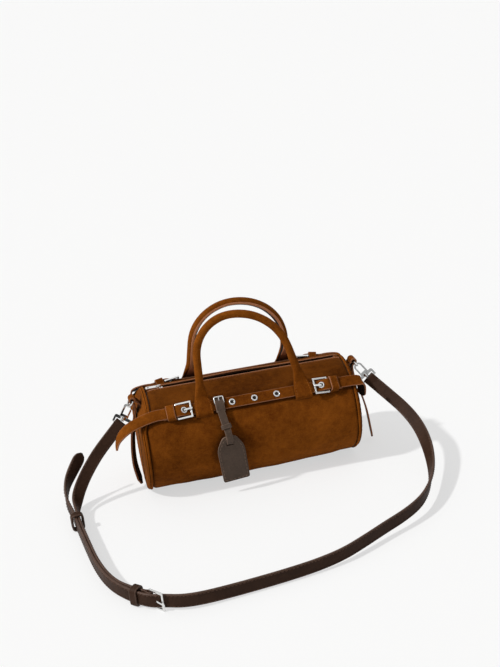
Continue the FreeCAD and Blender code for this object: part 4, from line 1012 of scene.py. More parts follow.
def strap_piece(name, stations, sizes, tip=False, wrap=None):
    """One length of the shoulder strap with its stitch rows, and a turned end round a bar."""
    build = Build()
    section, tags = strap_section(STRAP_WIDTH, STRAP_THICK, STRAP_CORNER)
    walked = lengths_of([station[0] for station in stations])
    sections = []
    for place in walked:
        share = tip_share((walked[-1] - place) / MM, STRAP_TIP, 1.0, 0.02) if tip else 1.0
        sections.append([(u * share, v) for u, v in section])
    build.sweep(stations, sections, tags)
    inset = STRAP_WIDTH * MM / 2 - sizes.margin
    kept = [station for station, place in zip(stations, walked)
            if not tip or walked[-1] - place > STRAP_STITCH_END * MM]
    for side in (-1, 1):
        for face in (-1, 1):
            row = [centre + across * (side * inset) + normal * (face * STRAP_THICK * MM / 2)
                   for centre, across, normal in kept]
            build.stitches(row, [normal * face for _, _, normal in kept], sizes, scale=STRAP_STITCH_SCALE)
    if wrap is not None:
        add_turned_end(build, *wrap)
    return build.object(name, finishes(*STRAP_FINISHES))


def add_turned_end(build, centre, across, along, normal):
    """Thinner end of a strap, turned round a bar."""
    section, tags = strap_section(*TURNED_SECTION)
    path = list(TURNED_END)
    for degrees in TURNED_TURNS:
        turn = math.radians(degrees)
        path.append((TURNED_RADIUS * math.cos(turn), TURNED_RADIUS * math.sin(turn)))
    path += [(t, -n) for t, n in reversed(TURNED_END)]
    build.flat_run([centre + along * (t * MM) + normal * (n * MM) for t, n in path], across, section, tags)


class StrapOperator(bpy.types.Operator):
    """Shoulder strap in its two pieces, with keepers"""
    bl_idname = "bag.shoulder_strap"
    bl_label = "Shoulder strap"

    def execute(self, context):
        sizes = context.scene.bag_sizes
        right_bar = RING + HANG * EYE_BAR
        left_hang = Vector((-HANG.x, HANG.y, HANG.z))
        left_bar = Vector((-RING.x, RING.y, RING.z)) + left_hang * EYE_BAR
        right_across = square_to(Vector(RIGHT_LEANS[0]), HANG)
        left_across = square_to(Vector(LEFT_LEANS[0]), left_hang)
        upright = len(LONG_ROUTE) + 1 - len(RIGHT_LEANS) - len(TAIL_LEANS)
        long_leans = [right_across, *RIGHT_LEANS[1:], *[tuple(Z_AXIS)] * upright, *TAIL_LEANS]
        short_leans = [left_across, *LEFT_LEANS[1:]]
        short_leans += [tuple(Z_AXIS)] * (len(SHORT_ROUTE) + 1 - len(short_leans))
        long_strap = strap_stations([right_bar, *LONG_ROUTE], long_leans)
        short_strap = strap_stations([left_bar, *SHORT_ROUTE], short_leans)
        self.lay(long_strap, "right", "strap_long", sizes, True)
        self.lay(short_strap, "left", "strap_short", sizes, False)
        self.keepers()
        return {"FINISHED"}

    def lay(self, stations, end, node, sizes, tip):
        """Cut one strap into a free cord and three lengths near the clip, which are left unattached."""
        walked = [place / MM for place in lengths_of([station[0] for station in stations])]
        cuts = [min(range(len(walked)), key=lambda n: abs(walked[n] - cut)) for cut in STRAP_CUTS[end]]
        bar, across, normal = stations[0]
        along = (stations[2][0] - bar).normalized()
        pieces = []
        for number in range(3):
            part = stations[cuts[number]:cuts[number + 1] + 1]
            wrap = (bar, across, along, normal) if number == 0 else None
            piece = strap_piece("%s_bend_%d" % (node, number + 1), part, sizes, wrap=wrap)
            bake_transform(piece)
            pieces.append(piece)
        rest = stations[cuts[3]:]
        if not tip:
            heel = rest[-1]
            build = Build()
            add_turned_end(build, heel[0], heel[1], (rest[-3][0] - heel[0]).normalized(), heel[2])
            turned = build.object(node + "_turned_end", finishes(*STRAP_FINISHES[:3]))
            dress(turned, "bag", "strap_leather")
            rest = [station for station in rest if (station[0] - heel[0]).length > HEEL_CLEAR * MM]
            pieces += [turned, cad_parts["strap_buckle"]]
        main = strap_piece(node + "_run", rest, sizes, tip)
        dress(main, "bag", "strap_leather", node)

    def keepers(self):
        """Leather loops round both thicknesses of the strap: one sewn by the buckle, one that slides."""
        heading = Vector((math.cos(STRAP_KEEPER_HEADING), math.sin(STRAP_KEEPER_HEADING), 0))
        fixed = mm(*STRAP_KEEPER_FROM) + heading * (STRAP_KEEPER_OFF * MM)
        sliding = (Vector(SHORT_ROUTE[4]) + Vector(SHORT_ROUTE[5])) * (MM / 2)
        loops = (("fixed_keeper", "bag", fixed, heading, FIXED_KEEPER_REACH),
                 ("sliding_keeper", "strap_sliding_keeper", sliding, SLIDE_ALONG, SLIDING_KEEPER_REACH))
        for name, body, centre, way, reach in loops:
            out = Vector((-way.y, way.x, 0))
            place = Matrix.Translation(centre) @ Matrix((way, Z_AXIS, out)).transposed().to_4x4()
            build = Build()
            path = round_loop(STRAP_KEEPER_HALF, *reach, STRAP_KEEPER_CORNER)
            band(build, place, STRAP_KEEPER_STRIP, path)
            piece = build.object("leather_" + name, finishes(*STRAP_FINISHES))
            dress(piece, body, "strap_leather", "strap_" + name)


# Barrel

def barrel_point(x, turn, radius):
    """Point of the barrel from a place along it and a turn from the top, flat at the foot."""
    height = AXIS_HEIGHT + radius * math.cos(turn)
    return mm(x, radius * math.sin(turn), max(height, RADIUS - radius))


def outward(turn):
    """Direction away from the barrel's axis at a turn from the top."""
    return Vector((0, math.sin(turn), math.cos(turn)))


def slumped(point):
    """Slump of the soft barrel: a fuller lower left end, and a right end that lifts a little."""
    x, y, z = point / MM
    low = 1 - smooth_share(*LOW_RISE, z)
    left = smooth_share(LEFT_FULL_FROM, HALF_LENGTH - WELT, -x)
    right = smooth_share(RIGHT_LIFT_FROM, HALF_LENGTH, x)
    lift = RIGHT_LIFT * right * (1 - smooth_share(0, RIGHT_LIFT_TOP, z))
    droop = END_DROOP * smooth_share(END_DROOP_FROM, HALF_LENGTH, abs(x))
    droop *= smooth_share(*END_DROOP_RISE, z)
    lip = LIP_LIFT * math.exp(-((x - LIP_X) / LIP_SPREAD) ** 2) * (1 - smooth_share(*LIP_WIDTH, y))
    lip *= y > 0 and z > TOP_HEIGHT
    drawn = LEFT_DRAWN * smooth_share(LEFT_DRAWN_FROM, HALF_LENGTH, -x)
    drawn *= smooth_share(*LEFT_DRAWN_RISE, z)
    return point + mm(drawn - LEFT_FULL * low * left, 0, lift - droop + lip)


class BarrelOperator(bpy.types.Operator):
    """Suede barrel with its ends, piping and lining"""
    bl_idname = "bag.barrel"
    bl_label = "Barrel"

    def execute(self, context):
        sizes = context.scene.bag_sizes
        self.panel(sizes)
        self.zip_edge(sizes)
        for side, name in ((-1, "left"), (1, "right")):
            self.end(side, name)
            self.piping(side, name)
        self.lining()
        return {"FINISHED"}

    def panel(self, sizes):
        """Tube with the zip slot: pattern, cloth swell and thickness."""
        edge_turn = math.asin(SLOT_HALF / RADIUS)
        turns = [-edge_turn + edge_turn * 2 * k / SLOT_COLUMNS for k in range(SLOT_COLUMNS)]
        turns += [edge_turn + (math.tau - 2 * edge_turn) * k / TUBE_COLUMNS for k in range(TUBE_COLUMNS)]
        end_x = HALF_LENGTH - WELT
        rows = [-end_x + inset for inset in END_ROWS]
        rows += [-ZIP_HALF + ROW_STEP * k for k in range(int(2 * ZIP_HALF / ROW_STEP) + 1)]
        rows += [end_x - inset for inset in reversed(END_ROWS)]
        points = []
        for x in rows:
            tuck = SEAM_TUCK * (1 - smooth_share(0, TUCK_RUN, end_x - abs(x)))
            points.extend(slumped(barrel_point(x, turn, RADIUS - tuck)) for turn in turns)
        count = len(turns)
        faces = []
        for face in quads(len(rows), count):
            row, column = divmod(face[0], count)
            slot = column < SLOT_COLUMNS and rows[row] >= -ZIP_HALF and rows[row + 1] <= ZIP_HALF
            if not slot:
                faces.append(face)
        piece = hide_piece("barrel_panel", points, faces)
        self.swell(piece, sizes)
        for material in finishes("barrel_suede_shaded_top", "suede_cut_edge"):
            piece.data.materials.append(material)
        skin = thicken(piece, "suede_thickness", PANEL * MM)
        skin.use_even_offset = True
        skin.material_offset_rim = 1
        soften(piece, "soft_edge", PANEL_SOFT_EDGE * MM, 50)
        dress(piece, "bag", "suede", "body_panel")

    def zip_edge(self, sizes):
        """Stitch rows and the bound edges along the zip slot."""
        seams = Build()
        for side in (-1, 1):
            turn = side * math.asin((SLOT_HALF + ZIP_STITCH_OFF) / RADIUS)
            line = [slumped(barrel_point(x, turn, RADIUS))
                    for x in range(-ZIP_STITCH_HALF, ZIP_STITCH_HALF + 1, 4)]
            seams.stitches(line, [outward(turn)] * len(line), sizes, FACE)
        dress(seams.object("zip_topstitch", finishes("suede_thread")), "bag", "suede")
        lips = Build()
        for side in (-1, 1):
            turn = side * math.asin((SLOT_HALF + BINDING_OFF) / RADIUS)
            out = outward(turn)
            stations = []
            for step in range(int(2 * BINDING_HALF / ROW_STEP) + 1):
                ripple = BINDING_RIPPLE * noise.noise(Vector((step * 0.21, side, 8)))
                point = barrel_point(-BINDING_HALF + ROW_STEP * step, turn, RADIUS - BINDING_SUNK + ripple)
                stations.append((slumped(point), X_AXIS.cross(out), out))
            lips.sweep(stations, soft_ring(*BINDING_RING), [FACE] * BINDING_RING[-1])
        dress(lips.object("zip_edge_binding", finishes("suede_cut_edge")), "bag", "suede")

    def swell(self, piece, sizes):
        """Let the sewn tube settle as cloth, held at its seams, and keep the move small."""
        mesh = piece.data
        start = [vertex.co.copy() for vertex in mesh.vertices]
        free = [self.freedom(point) for point in start]
        settled = self.settle(piece, free, sizes)
        for vertex, before, after, share in zip(mesh.vertices, start, settled, free):
            move = after - before
            if move.length > sizes.swell:
                move *= sizes.swell / move.length
            spine = Vector((0, before.y, before.z - AXIS_HEIGHT * MM)).normalized()
            wave = noise.fractal(before * WAVE_SCALE, 1.0, 2.0, 2) * WAVE_HEIGHT - WAVE_SINK
            vertex.co = before + move * share + spine * (wave * share)

    def freedom(self, point):
        """Share to which a point of the tube may move: none at seams, belts, slot and foot."""
        x, y, z = point / MM
        turn = abs(math.atan2(y, z - AXIS_HEIGHT))
        share = smooth_share(*FREE_FROM_SEAM, HALF_LENGTH - WELT - abs(x))
        share *= smooth_share(*FREE_FROM_BELT, abs(turn - BELT_ANGLE) * RADIUS - BELT_HELD_HALF)
        share *= smooth_share(*FREE_FROM_SLOT, turn * RADIUS - SLOT_HALF)
        return share * smooth_share(*FREE_FROM_FOOT, z)

    def settle(self, piece, free, sizes):
        """Points of the tube after a short cloth simulation with a little air inside."""
        group = piece.vertex_groups.new(name="held")
        for index, share in enumerate(free):
            group.add([index], 1 - share, "REPLACE")
        cloth = piece.modifiers.new("settle", "CLOTH")
        for setting, value in CLOTH.items():
            setattr(cloth.settings, setting, value)
        cloth.settings.vertex_group_mass = group.name
        cloth.settings.effector_weights.gravity = CLOTH_GRAVITY
        cloth.collision_settings.use_collision = False
        cloth.point_cache.frame_start = 1
        cloth.point_cache.frame_end = sizes.frames
        scene = bpy.context.scene
        for step in range(1, sizes.frames + 1):
            scene.frame_set(step)
        done = piece.evaluated_get(bpy.context.evaluated_depsgraph_get())
        settled = [vertex.co.copy() for vertex in done.to_mesh().vertices]
        done.to_mesh_clear()
        piece.modifiers.remove(cloth)
        piece.vertex_groups.remove(group)
        scene.frame_set(1)
        return settled

    def end(self, side, name):
        """Pillowed round end, sewn in at its rim and flat at the foot."""
        high_depth, low_depth = END_DEPTHS[side]
        points = []
        for out, radius in END_PROFILE:
            sunk = RADIUS - radius
            calm = smooth_share(60, 40, radius)
            gather = PUCKER * smooth_share(54, 61, radius)
            for step in range(END_COLUMNS):
                point = barrel_point(side * HALF_LENGTH, math.tau * step / END_COLUMNS, radius)
                low = 1 - smooth_share(*LOW_RISE, point.z / MM)
                depth = high_depth + (low_depth - high_depth) * low
                point = slumped(point)
                point.x += side * MM * (END_SEAMS[side] - HALF_LENGTH + out * depth)
                if sunk < FOOT_RIM and point.z < FOOT_HEIGHT * MM:
                    point.z = max(0.0, point.z - sunk * MM)
                pucker = gather * math.sin(step * PUCKER_TURN + 3 * noise.noise(point * 90))
                ripple = END_RIPPLE * calm * noise.noise(point * 30 + Vector((side, 0, 0)))
                point.x += side * MM * (pucker + ripple)
                points.append(point)
        faces = quads(len(END_PROFILE), END_COLUMNS)
        last, middle = len(points) - END_COLUMNS, len(points)
        points.append(sum(points[last:], Vector((0, 0, 0))) / END_COLUMNS)
        faces += [(last + step, last + (step + 1) % END_COLUMNS, middle) for step in range(END_COLUMNS)]
        piece = hide_piece("end_pillow_" + name, points, faces)
        for material in finishes("suede", "suede_cut_edge"):
            piece.data.materials.append(material)
        thicken(piece, "suede_thickness", PANEL * MM)
        dress(piece, "bag", "suede", "end_panel_" + name)

    def piping(self, side, name):
        """Covered cord in the end seam."""
        stations, sections = [], []
        for step in range(PIPING_STEPS):
            turn = math.tau * step / PIPING_STEPS
            point = barrel_point(side * PIPING_X[side], turn, RADIUS - PIPING_SUNK)
            point.z = max(point.z, PIPING_FLOOR * MM)
            stations.append((slumped(point), X_AXIS, outward(turn)))
            wobble = 1 + 0.03 * noise.noise(Vector((step * 0.35, side, 0)))
            sections.append(soft_ring(*[half * wobble for half in PIPING_HALVES], 2.2, PIPING_SIDES))
        build = Build()
        build.sweep(stations, sections, [FACE] * PIPING_SIDES, loop=True)
        piece = build.object("piping_cord_" + name, finishes("suede"))
        dress(piece, "bag", "suede", "piping_" + name)

    def lining(self):
        """Thin sleeve inside the panel, open under the zip."""
        radius = RADIUS - PANEL - LINING_GAP
        mouth = math.asin(LINING_MOUTH / radius)
        turns = [mouth + (math.tau - 2 * mouth) * k / LINING_COLUMNS for k in range(LINING_COLUMNS + 1)]
        points = []
        for row in range(LINING_ROWS + 1):
            x = -LINING_HALF + 2 * LINING_HALF * row / LINING_ROWS
            for turn in turns:
                ruck = LINING_RUCK * (1 + noise.noise(Vector((x * 0.05, turn * 4, 3))))
                points.append(barrel_point(x, turn, radius - ruck))
        build = Build()
        build.add(points, quads(LINING_ROWS + 1, len(turns), closed=False), FACE)
        piece = build.object("lining_sleeve", finishes("lining_cloth"))
        thicken(piece, "cloth_thickness", LINING_THICK * MM, offset=0)
        dress(piece, "bag", "lining_cloth", "lining")


# Zip

class ZipOperator(bpy.types.Operator):
    """Woven zip tapes under the slot"""
    bl_idname = "bag.zip_tapes"
    bl_label = "Zip tapes"

    def execute(self, context):
        section, tags = strap_section(*TAPE_SECTION)
        for side, name in ((-1, "front"), (1, "rear")):
            low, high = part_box("zip_tape_" + name)
            out = outward(side * math.asin(TAPE_SIDE / TAPE_RADIUS))
            stations = []
            for step in range(TAPE_STEPS + 1):
                x = low.x + (high.x - low.x) * step / TAPE_STEPS
                ripple = TAPE_RIPPLE * math.sin(step * 1.7 + side)
                centre = Vector((x, 0, AXIS_HEIGHT * MM)) + out * ((TAPE_OUT + ripple) * MM)
                stations.append((centre, X_AXIS.cross(out), out))
            build = Build()
            build.sweep(stations, section, tags)
            piece = build.object("woven_tape_" + name, finishes("zip_tape", "zip_tape", "zip_tape"))
            dress(piece, "bag", "zip_tape", "zip_tape_" + name)
        return {"FINISHED"}


# Belts

class BeltOperator(bpy.types.Operator):
    """Belts with their tails, keepers and the straps that hold the buckles"""
    bl_idname = "bag.belts"
    bl_label = "Belts"

    def execute(self, context):
        sizes = context.scene.bag_sizes
        for rear in (False, True):
            place = belt_frame(rear)
            self.belt("rear" if rear else "front", rear, place)
            for side, name in side_names(rear):
                self.keeper(side, name, place, sizes)
                self.base(side, name, place)
        return {"FINISHED"}

    def tail(self, side, places, rear):
        """Places of a free tail past the straight belt, in the bag's frame."""
        start = belt_frame(False) @ mm(side * BELT_END, 0, BELT_OUT)
        found = [start + mm(side * run, -swing, -drop) for run, swing, drop in places]
        return [Matrix.Rotation(math.pi, 4, "Z") @ point for point in found] if rear else found

    def belt(self, end, rear, place):
        """One belt from tail to tail over both buckles, with its dark strip of painted shadow beneath, and
        its eyelets.
        """
        across = place.to_3x3() @ Y_AXIS
        out = place.to_3x3() @ Z_AXIS
        flat = [(-x, lift) for x, lift in BELT_LINE] + [(0.0, BELT_OUT)] + list(reversed(BELT_LINE))
        middle = [place @ mm(x, 0, lift) for x, lift in flat]
        left = self.tail(-1, CURL_TAIL if rear else LONG_TAIL, rear)
        right = self.tail(1, CURL_TAIL, rear)
        free = Matrix.Rotation(math.pi, 3, "Z") @ Y_AXIS if rear else Y_AXIS
        curled = free if rear else CURL_LEAN
        leans = [free.lerp(across, number / len(left)) for number in range(len(left))]
        leans += [across] * len(middle)
        leans += [across.lerp(curled, (number + 1) / len(right)) for number in range(len(right))]
        line = spline_points(list(reversed(left)) + middle + right, 7)
        turned = spline_points(leans, 7)
        walked = lengths_of(line)
        section, tags = strap_section(BELT_WIDTH, BELT_THICK, BELT_CORNER)
        crowned, tags = strap_section(BELT_WIDTH, BELT_THICK, BELT_CORNER, BELT_CROWN)
        stations, sections = [], []
        for centre, lean, along, place_along in zip(line, turned, tangents_of(line), walked):
            side = square_to(lean, along)
            stations.append((centre, side, along.cross(side)))
            share = tip_share(min(place_along, walked[-1] - place_along) / MM, BELT_TIP, 0.9, 0.05)
            shape = crowned if abs(centre.x) < BELT_CROWNED_HALF * MM else section
            sections.append([(u * share, v) for u, v in shape])
        if stations[len(stations) // 2][2].dot(out) < 0:
            raise RuntimeError("the belt's face points inward")
        build = Build()
        build.sweep(stations, sections, tags)
        self.shadow_strip(build, place, across, out)
        rings = Build()
        self.punches(build, rings, place)
        piece = build.object("suede_belt_" + end, finishes("suede", "suede_cut_edge", "belt_backing"))
        dress(piece, "bag", "suede", end + "_belt")
        piece = rings.object("domed_eyelets_" + end, finishes("chrome"))
        dress(piece, "bag", "hardware", end + "_belt_eyelets")

    def shadow_strip(self, build, place, across, out):
        """Dark strip between the belt and the barrel: a painted shadow that fills the gap."""
        section, tags = strap_section(BELT_WIDTH - SHADOW_STRIP_INSET, SHADOW_STRIP_THICK, 0.5)
        stations = [(place @ mm(x, 0, SHADOW_STRIP_OUT), across, out)
                    for x in range(-SHADOW_STRIP_HALF, SHADOW_STRIP_HALF + 1, 8)]
        build.sweep(stations, section, [BACK] * len(tags))

    def punches(self, build, rings, place):
        """Domed eyelets, three along the belt and one at each prong, each hole filled with a dark disc as
        painted shade.
        """
        for x, out, hole, tilt, radius in EYELETS:
            spot = place @ Matrix.Translation(mm(x, 0, out)) @ Matrix.Rotation(math.radians(tilt), 4, "Y")
            # Painted shade: a closed dark disc of backing fills the hole
            points = []
            for level in SHADE_DISC_LEVELS:
                for step in range(SHADE_DISC_SIDES):
                    turn = math.tau * step / SHADE_DISC_SIDES
                    points.append(spot @ mm(hole * math.cos(turn), hole * math.sin(turn), level))
            lids = [tuple(range(SHADE_DISC_SIDES - 1, -1, -1)), tuple(range(SHADE_DISC_SIDES, 2 * SHADE_DISC_SIDES))]
            build.add(points, quads(2, SHADE_DISC_SIDES) + lids, BACK)
            stations = []
            for step in range(EYELET_STEPS):
                turn = math.tau * step / EYELET_STEPS
                radial = Vector((math.cos(turn), math.sin(turn), 0))
                stations.append((spot @ (radial * (radius * MM)), spot.to_3x3() @ radial,
                                 spot.to_3x3() @ Z_AXIS))
            rings.sweep(stations, soft_ring(*EYELET_RING), [FACE] * EYELET_RING[-1], loop=True)

    def keeper(self, side, name, place, sizes):
        """Loop of thick suede over the belt, tilted as the belt falls from the buckle."""
        path = [(KEEPER_HALF, foot) for foot in KEEPER_FEET]
        for start, a in ((0, KEEPER_HALF), (0.5, -KEEPER_HALF)):
            centre = a - math.copysign(KEEPER_CORNER, a)
            for step in range(6):
                turn = math.pi * (start + 0.5 * step / 5)
                path.append((centre + KEEPER_CORNER * math.cos(turn),
                             KEEPER_TOP - KEEPER_CORNER + KEEPER_CORNER * math.sin(turn)))
        path += [(-KEEPER_HALF, foot) for foot in reversed(KEEPER_FEET)]
        pivot = Matrix.Translation(mm(side * KEEPER_X, 0, KEEPER_PIVOT))
        lean = Matrix.Rotation(side * KEEPER_LEAN, 4, "Y")
        spot = place @ pivot @ lean @ Matrix.Translation(mm(0, 0, -KEEPER_PIVOT))
        build = Build()
        band(build, spot, KEEPER_STRIP, path, loop=False)
        up = (spot.to_3x3() @ Z_AXIS).normalized()
        top = [(a, b + KEEPER_SKIN) for a, b in path[3:-3] if abs(a) < KEEPER_STITCH_HALF]
        for edge in (-KEEPER_STITCH_X, KEEPER_STITCH_X):
            build.stitches([spot @ mm(edge, a, b) for a, b in top], [up] * len(top), sizes)
        piece = build.object("keeper_loop_" + name,
                             finishes("suede", "suede_cut_edge", "suede", "suede_thread"))
        dress(piece, "bag", "suede", "belt_keeper_" + name)

    def base(self, side, name, place):
        """Short strap that wraps the heel bar on both sides of the prong and is sewn to the bag."""
        path = list(BASE_RUN)
        for step in range(9):
            turn = math.radians(-90 - 22.5 * step)
            path.append((HEEL_X + BASE_TURN * math.cos(turn), HEEL_OUT + BASE_TURN * math.sin(turn)))
        path += BASE_RETURN
        section, tags = strap_section(*BASE_SECTION)
        build = Build()
        for centre in BASE_SIDES:
            line = [place @ mm(side * x, centre, out) for x, out in path]
            build.flat_run(line, place.to_3x3() @ Y_AXIS, section, tags)
        piece = build.object("buckle_strap_" + name, finishes("suede", "suede_cut_edge", "belt_backing"))
        dress(piece, "bag", "suede", "buckle_base_" + name)


# Handles

class HandleOperator(bpy.types.Operator):
    """Rolled handles that open out into flared tabs over the belts"""
    bl_idname = "bag.handles"
    bl_label = "Handles"

    def execute(self, context):
        sizes = context.scene.bag_sizes
        for rear, end in ((False, "front"), (True, "rear")):
            self.handle(end, rear, sizes)
        return {"FINISHED"}

    def centreline(self, left_lean, right_lean, apex):
        """Points of a front handle from the left tab's cut edge to the right one's, in metres."""
        place = belt_frame(False)
        half = HANDLE_SPAN / 2
        left_slant, right_slant = math.hypot(1, left_lean), math.hypot(1, right_lean)
        left_v = (HANDLE_RISE * left_slant - apex - half) / (left_slant - left_lean)
        right_v = (HANDLE_RISE * right_slant + apex - half) / (right_slant - right_lean)
        up = Vector((0, HANDLE_INSET, math.sqrt(HANDLE_RISE ** 2 - HANDLE_INSET ** 2))).normalized()
        foot = place @ mm(0, FLEX_ACROSS, FLEX_OUT)

        def at(u, v):
            return foot + X_AXIS * (u * MM) + up * (v * MM)

        halves = []
        for side, lean, middle in ((-1, left_lean, left_v), (1, right_lean, right_v)):
            radius = HANDLE_RISE - middle
            low = math.atan(lean)
            touch = middle + radius * math.sin(low)
            line = [place @ mm(side * half, across, out) for across, out in TAB_LINE]
            line += [at(side * (half - lean * touch * k / 8), touch * k / 8) for k in range(1, 8)]
            for step in range(9):
                turn = low + (math.pi / 2 - low) * step / 9
                line.append(at(apex + side * radius * math.cos(turn), middle + radius * math.sin(turn)))
            halves.append(line)
        controls = halves[0] + [at(apex, HANDLE_RISE)] + list(reversed(halves[1]))
        return spline_points(controls, 6), foot, up

    def half_sizes(self, near):
        """Half width and half thickness of the handle, from the millimetres to its cut edge."""
        width = TAB_HALF + (HANDLE_RADIUS - TAB_HALF) * smooth_share(*WIDTH_RUN, near)
        thick = TAB_SKIN + (HANDLE_RADIUS - TAB_SKIN) * smooth_share(*THICK_RUN, near)
        return width, thick

    def handle(self, end, rear, sizes):
        """One handle with its tabs, with a lapped seam along the side that faces the other handle: a light
        cut edge beside a dark groove, partly edge paint and partly painted shade.
        """
        line, foot, up = self.centreline(*(REAR_LEANS if rear else FRONT_LEANS))
        walked = lengths_of(line)
        tab_face = belt_frame(False).to_3x3() @ Z_AXIS
        plane = up.cross(X_AXIS).normalized()
        stations, sections = [], []
        for centre, along, place in zip(line, tangents_of(line), walked):
            near = min(place, walked[-1] - place) / MM
            normal = square_to(tab_face.lerp(plane * -1, smooth_share(*TURN_RUN, near)), along)
            stations.append((centre, normal.cross(along), normal))
            roll = smooth_share(*ROLL_RUN, near)
            width, thick = self.half_sizes(near)
            squareness = TAB_SQUARENESS + (ROLL_SQUARENESS - TAB_SQUARENESS) * roll
            wobble = 1 + HANDLE_WOBBLE * roll * noise.noise(centre * 70 + Vector((0, 5 * rear, 0)))
            ring = soft_ring(width * wobble, thick * wobble, squareness)
            swells = [1 + roll * SEAM_SWELL.get(side, 0.0) for side in range(HANDLE_SIDES)]
            sections.append([(u * swell, v * swell) for swell, (u, v) in zip(swells, ring)])
        if stations[0][2].dot(tab_face) < 0:
            raise RuntimeError("the handle tab's face points inward")
        build = Build()
        # The seam's groove takes the backing's dark colour: partly edge paint, partly painted shade
        build.sweep(stations, sections, [SEAM_EDGE_AND_SHADE_TAGS.get(side, FACE) for side in range(HANDLE_SIDES)])
        self.tab_rows(build, stations, walked, sizes)
        start, stop = foot - up * (FLEX_BELOW * MM), foot + up * (FLEX_ABOVE * MM)
        if rear:
            turn = Matrix.Rotation(math.pi, 3, "Z")
            build.points = [turn @ point for point in build.points]
            start, stop = turn @ start, turn @ stop
        piece = build.object("rolled_handle_" + end,
                             finishes("suede", "seam_cut_edge", "belt_backing", "suede_thread"))
        passes = bpy.data.collections[KEY_PASSES]
        passes.objects.link(piece)
        passes.collection_objects[-1].light_linking.link_state = "EXCLUDE"
        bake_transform(piece)
        names = [end + "_handle"] + ["handle_tab_%s_%s" % (end, side) for side in ("left", "right")]
        dress(piece, None, "suede", *names)

    def tab_rows(self, build, stations, walked, sizes):
        """Stitch rows along both edges of the sewn tabs."""
        low, high = TAB_ROW
        for flip in (False, True):
            from_edge = [(walked[-1] - place if flip else place) / MM for place in walked]
            for edge in (-1, 1):
                line, normals = [], []
                for (centre, across, normal), near in zip(stations, from_edge):
                    if low < near < high:
                        width, thick = self.half_sizes(near)
                        line.append(centre + across * (edge * (width - TAB_ROW_INSET) * MM)
                                    + normal * (thick * 0.97 * MM))
                        normals.append(normal)
                build.stitches(line, normals, sizes)


# Ring tabs

class RingTabOperator(bpy.types.Operator):
    """Suede tabs rolled round the ring bars, with hanging tails"""
    bl_idname = "bag.ring_tabs"
    bl_label = "Ring tabs"

    def execute(self, context):
        section, tags = strap_section(*TAB_SECTION)
        for side, name in ((1, "right"), (-1, "left")):
            line = spline_points([mm(side * x, y, z) for x, y, z in self.path(side)], 5)
            walked = lengths_of(line)
            stations, sections = [], []
            for centre, along, place in zip(line, tangents_of(line), walked):
                hangs = place > TAIL_START * MM
                turn = TAIL_TWISTS[side] * (1 - smooth_share(70, 103, centre.z / MM)) * hangs
                across = square_to(Vector((-math.sin(turn), side * math.cos(turn), 0)), along)
                stations.append((centre, across, along.cross(across)))
                share = tip_share((walked[-1] - place) / MM, TAIL_TIP, 0.95, 0.04)
                sections.append([(u * share, v) for u, v in section])
            build = Build()
            build.sweep(stations, sections, tags)
            piece = build.object("rolled_tab_" + name, finishes("suede", "suede_cut_edge", "belt_backing"))
            dress(piece, "bag", "suede", "ring_tab_" + name)
        return {"FINISHED"}

    def path(self, side):
        """Places of a tab from its seam on the end, round the ring's bar and down to the tail's tip."""
        root = END_SEAMS[side] + ROOT_OUT * END_DEPTHS[side][0]
        rises = (root, root + 0.6, (root + RING.x - ROLL_RADIUS) / 2)
        places = [(x, 0.0, z) for x, z in zip(rises, ROOT_HEIGHTS)]
        for degrees in ROLL_TURNS:
            turn = math.radians(degrees)
            places.append((RING.x + ROLL_RADIUS * math.cos(turn), 0.0,
                           RING.z + ROLL_RADIUS * math.sin(turn)))
        places += [(x, 0.0, z) for x, z in ROLL_UNDER]
        drop = RING.z - TAIL_CLEAR
        places += [(RING.x + sway, TAIL_FRONTS[side] * share ** 3, RING.z - drop * share)
                   for sway, share in zip(TAIL_SWAYS[side], TAIL_SHARES)]
        return places


# Tag

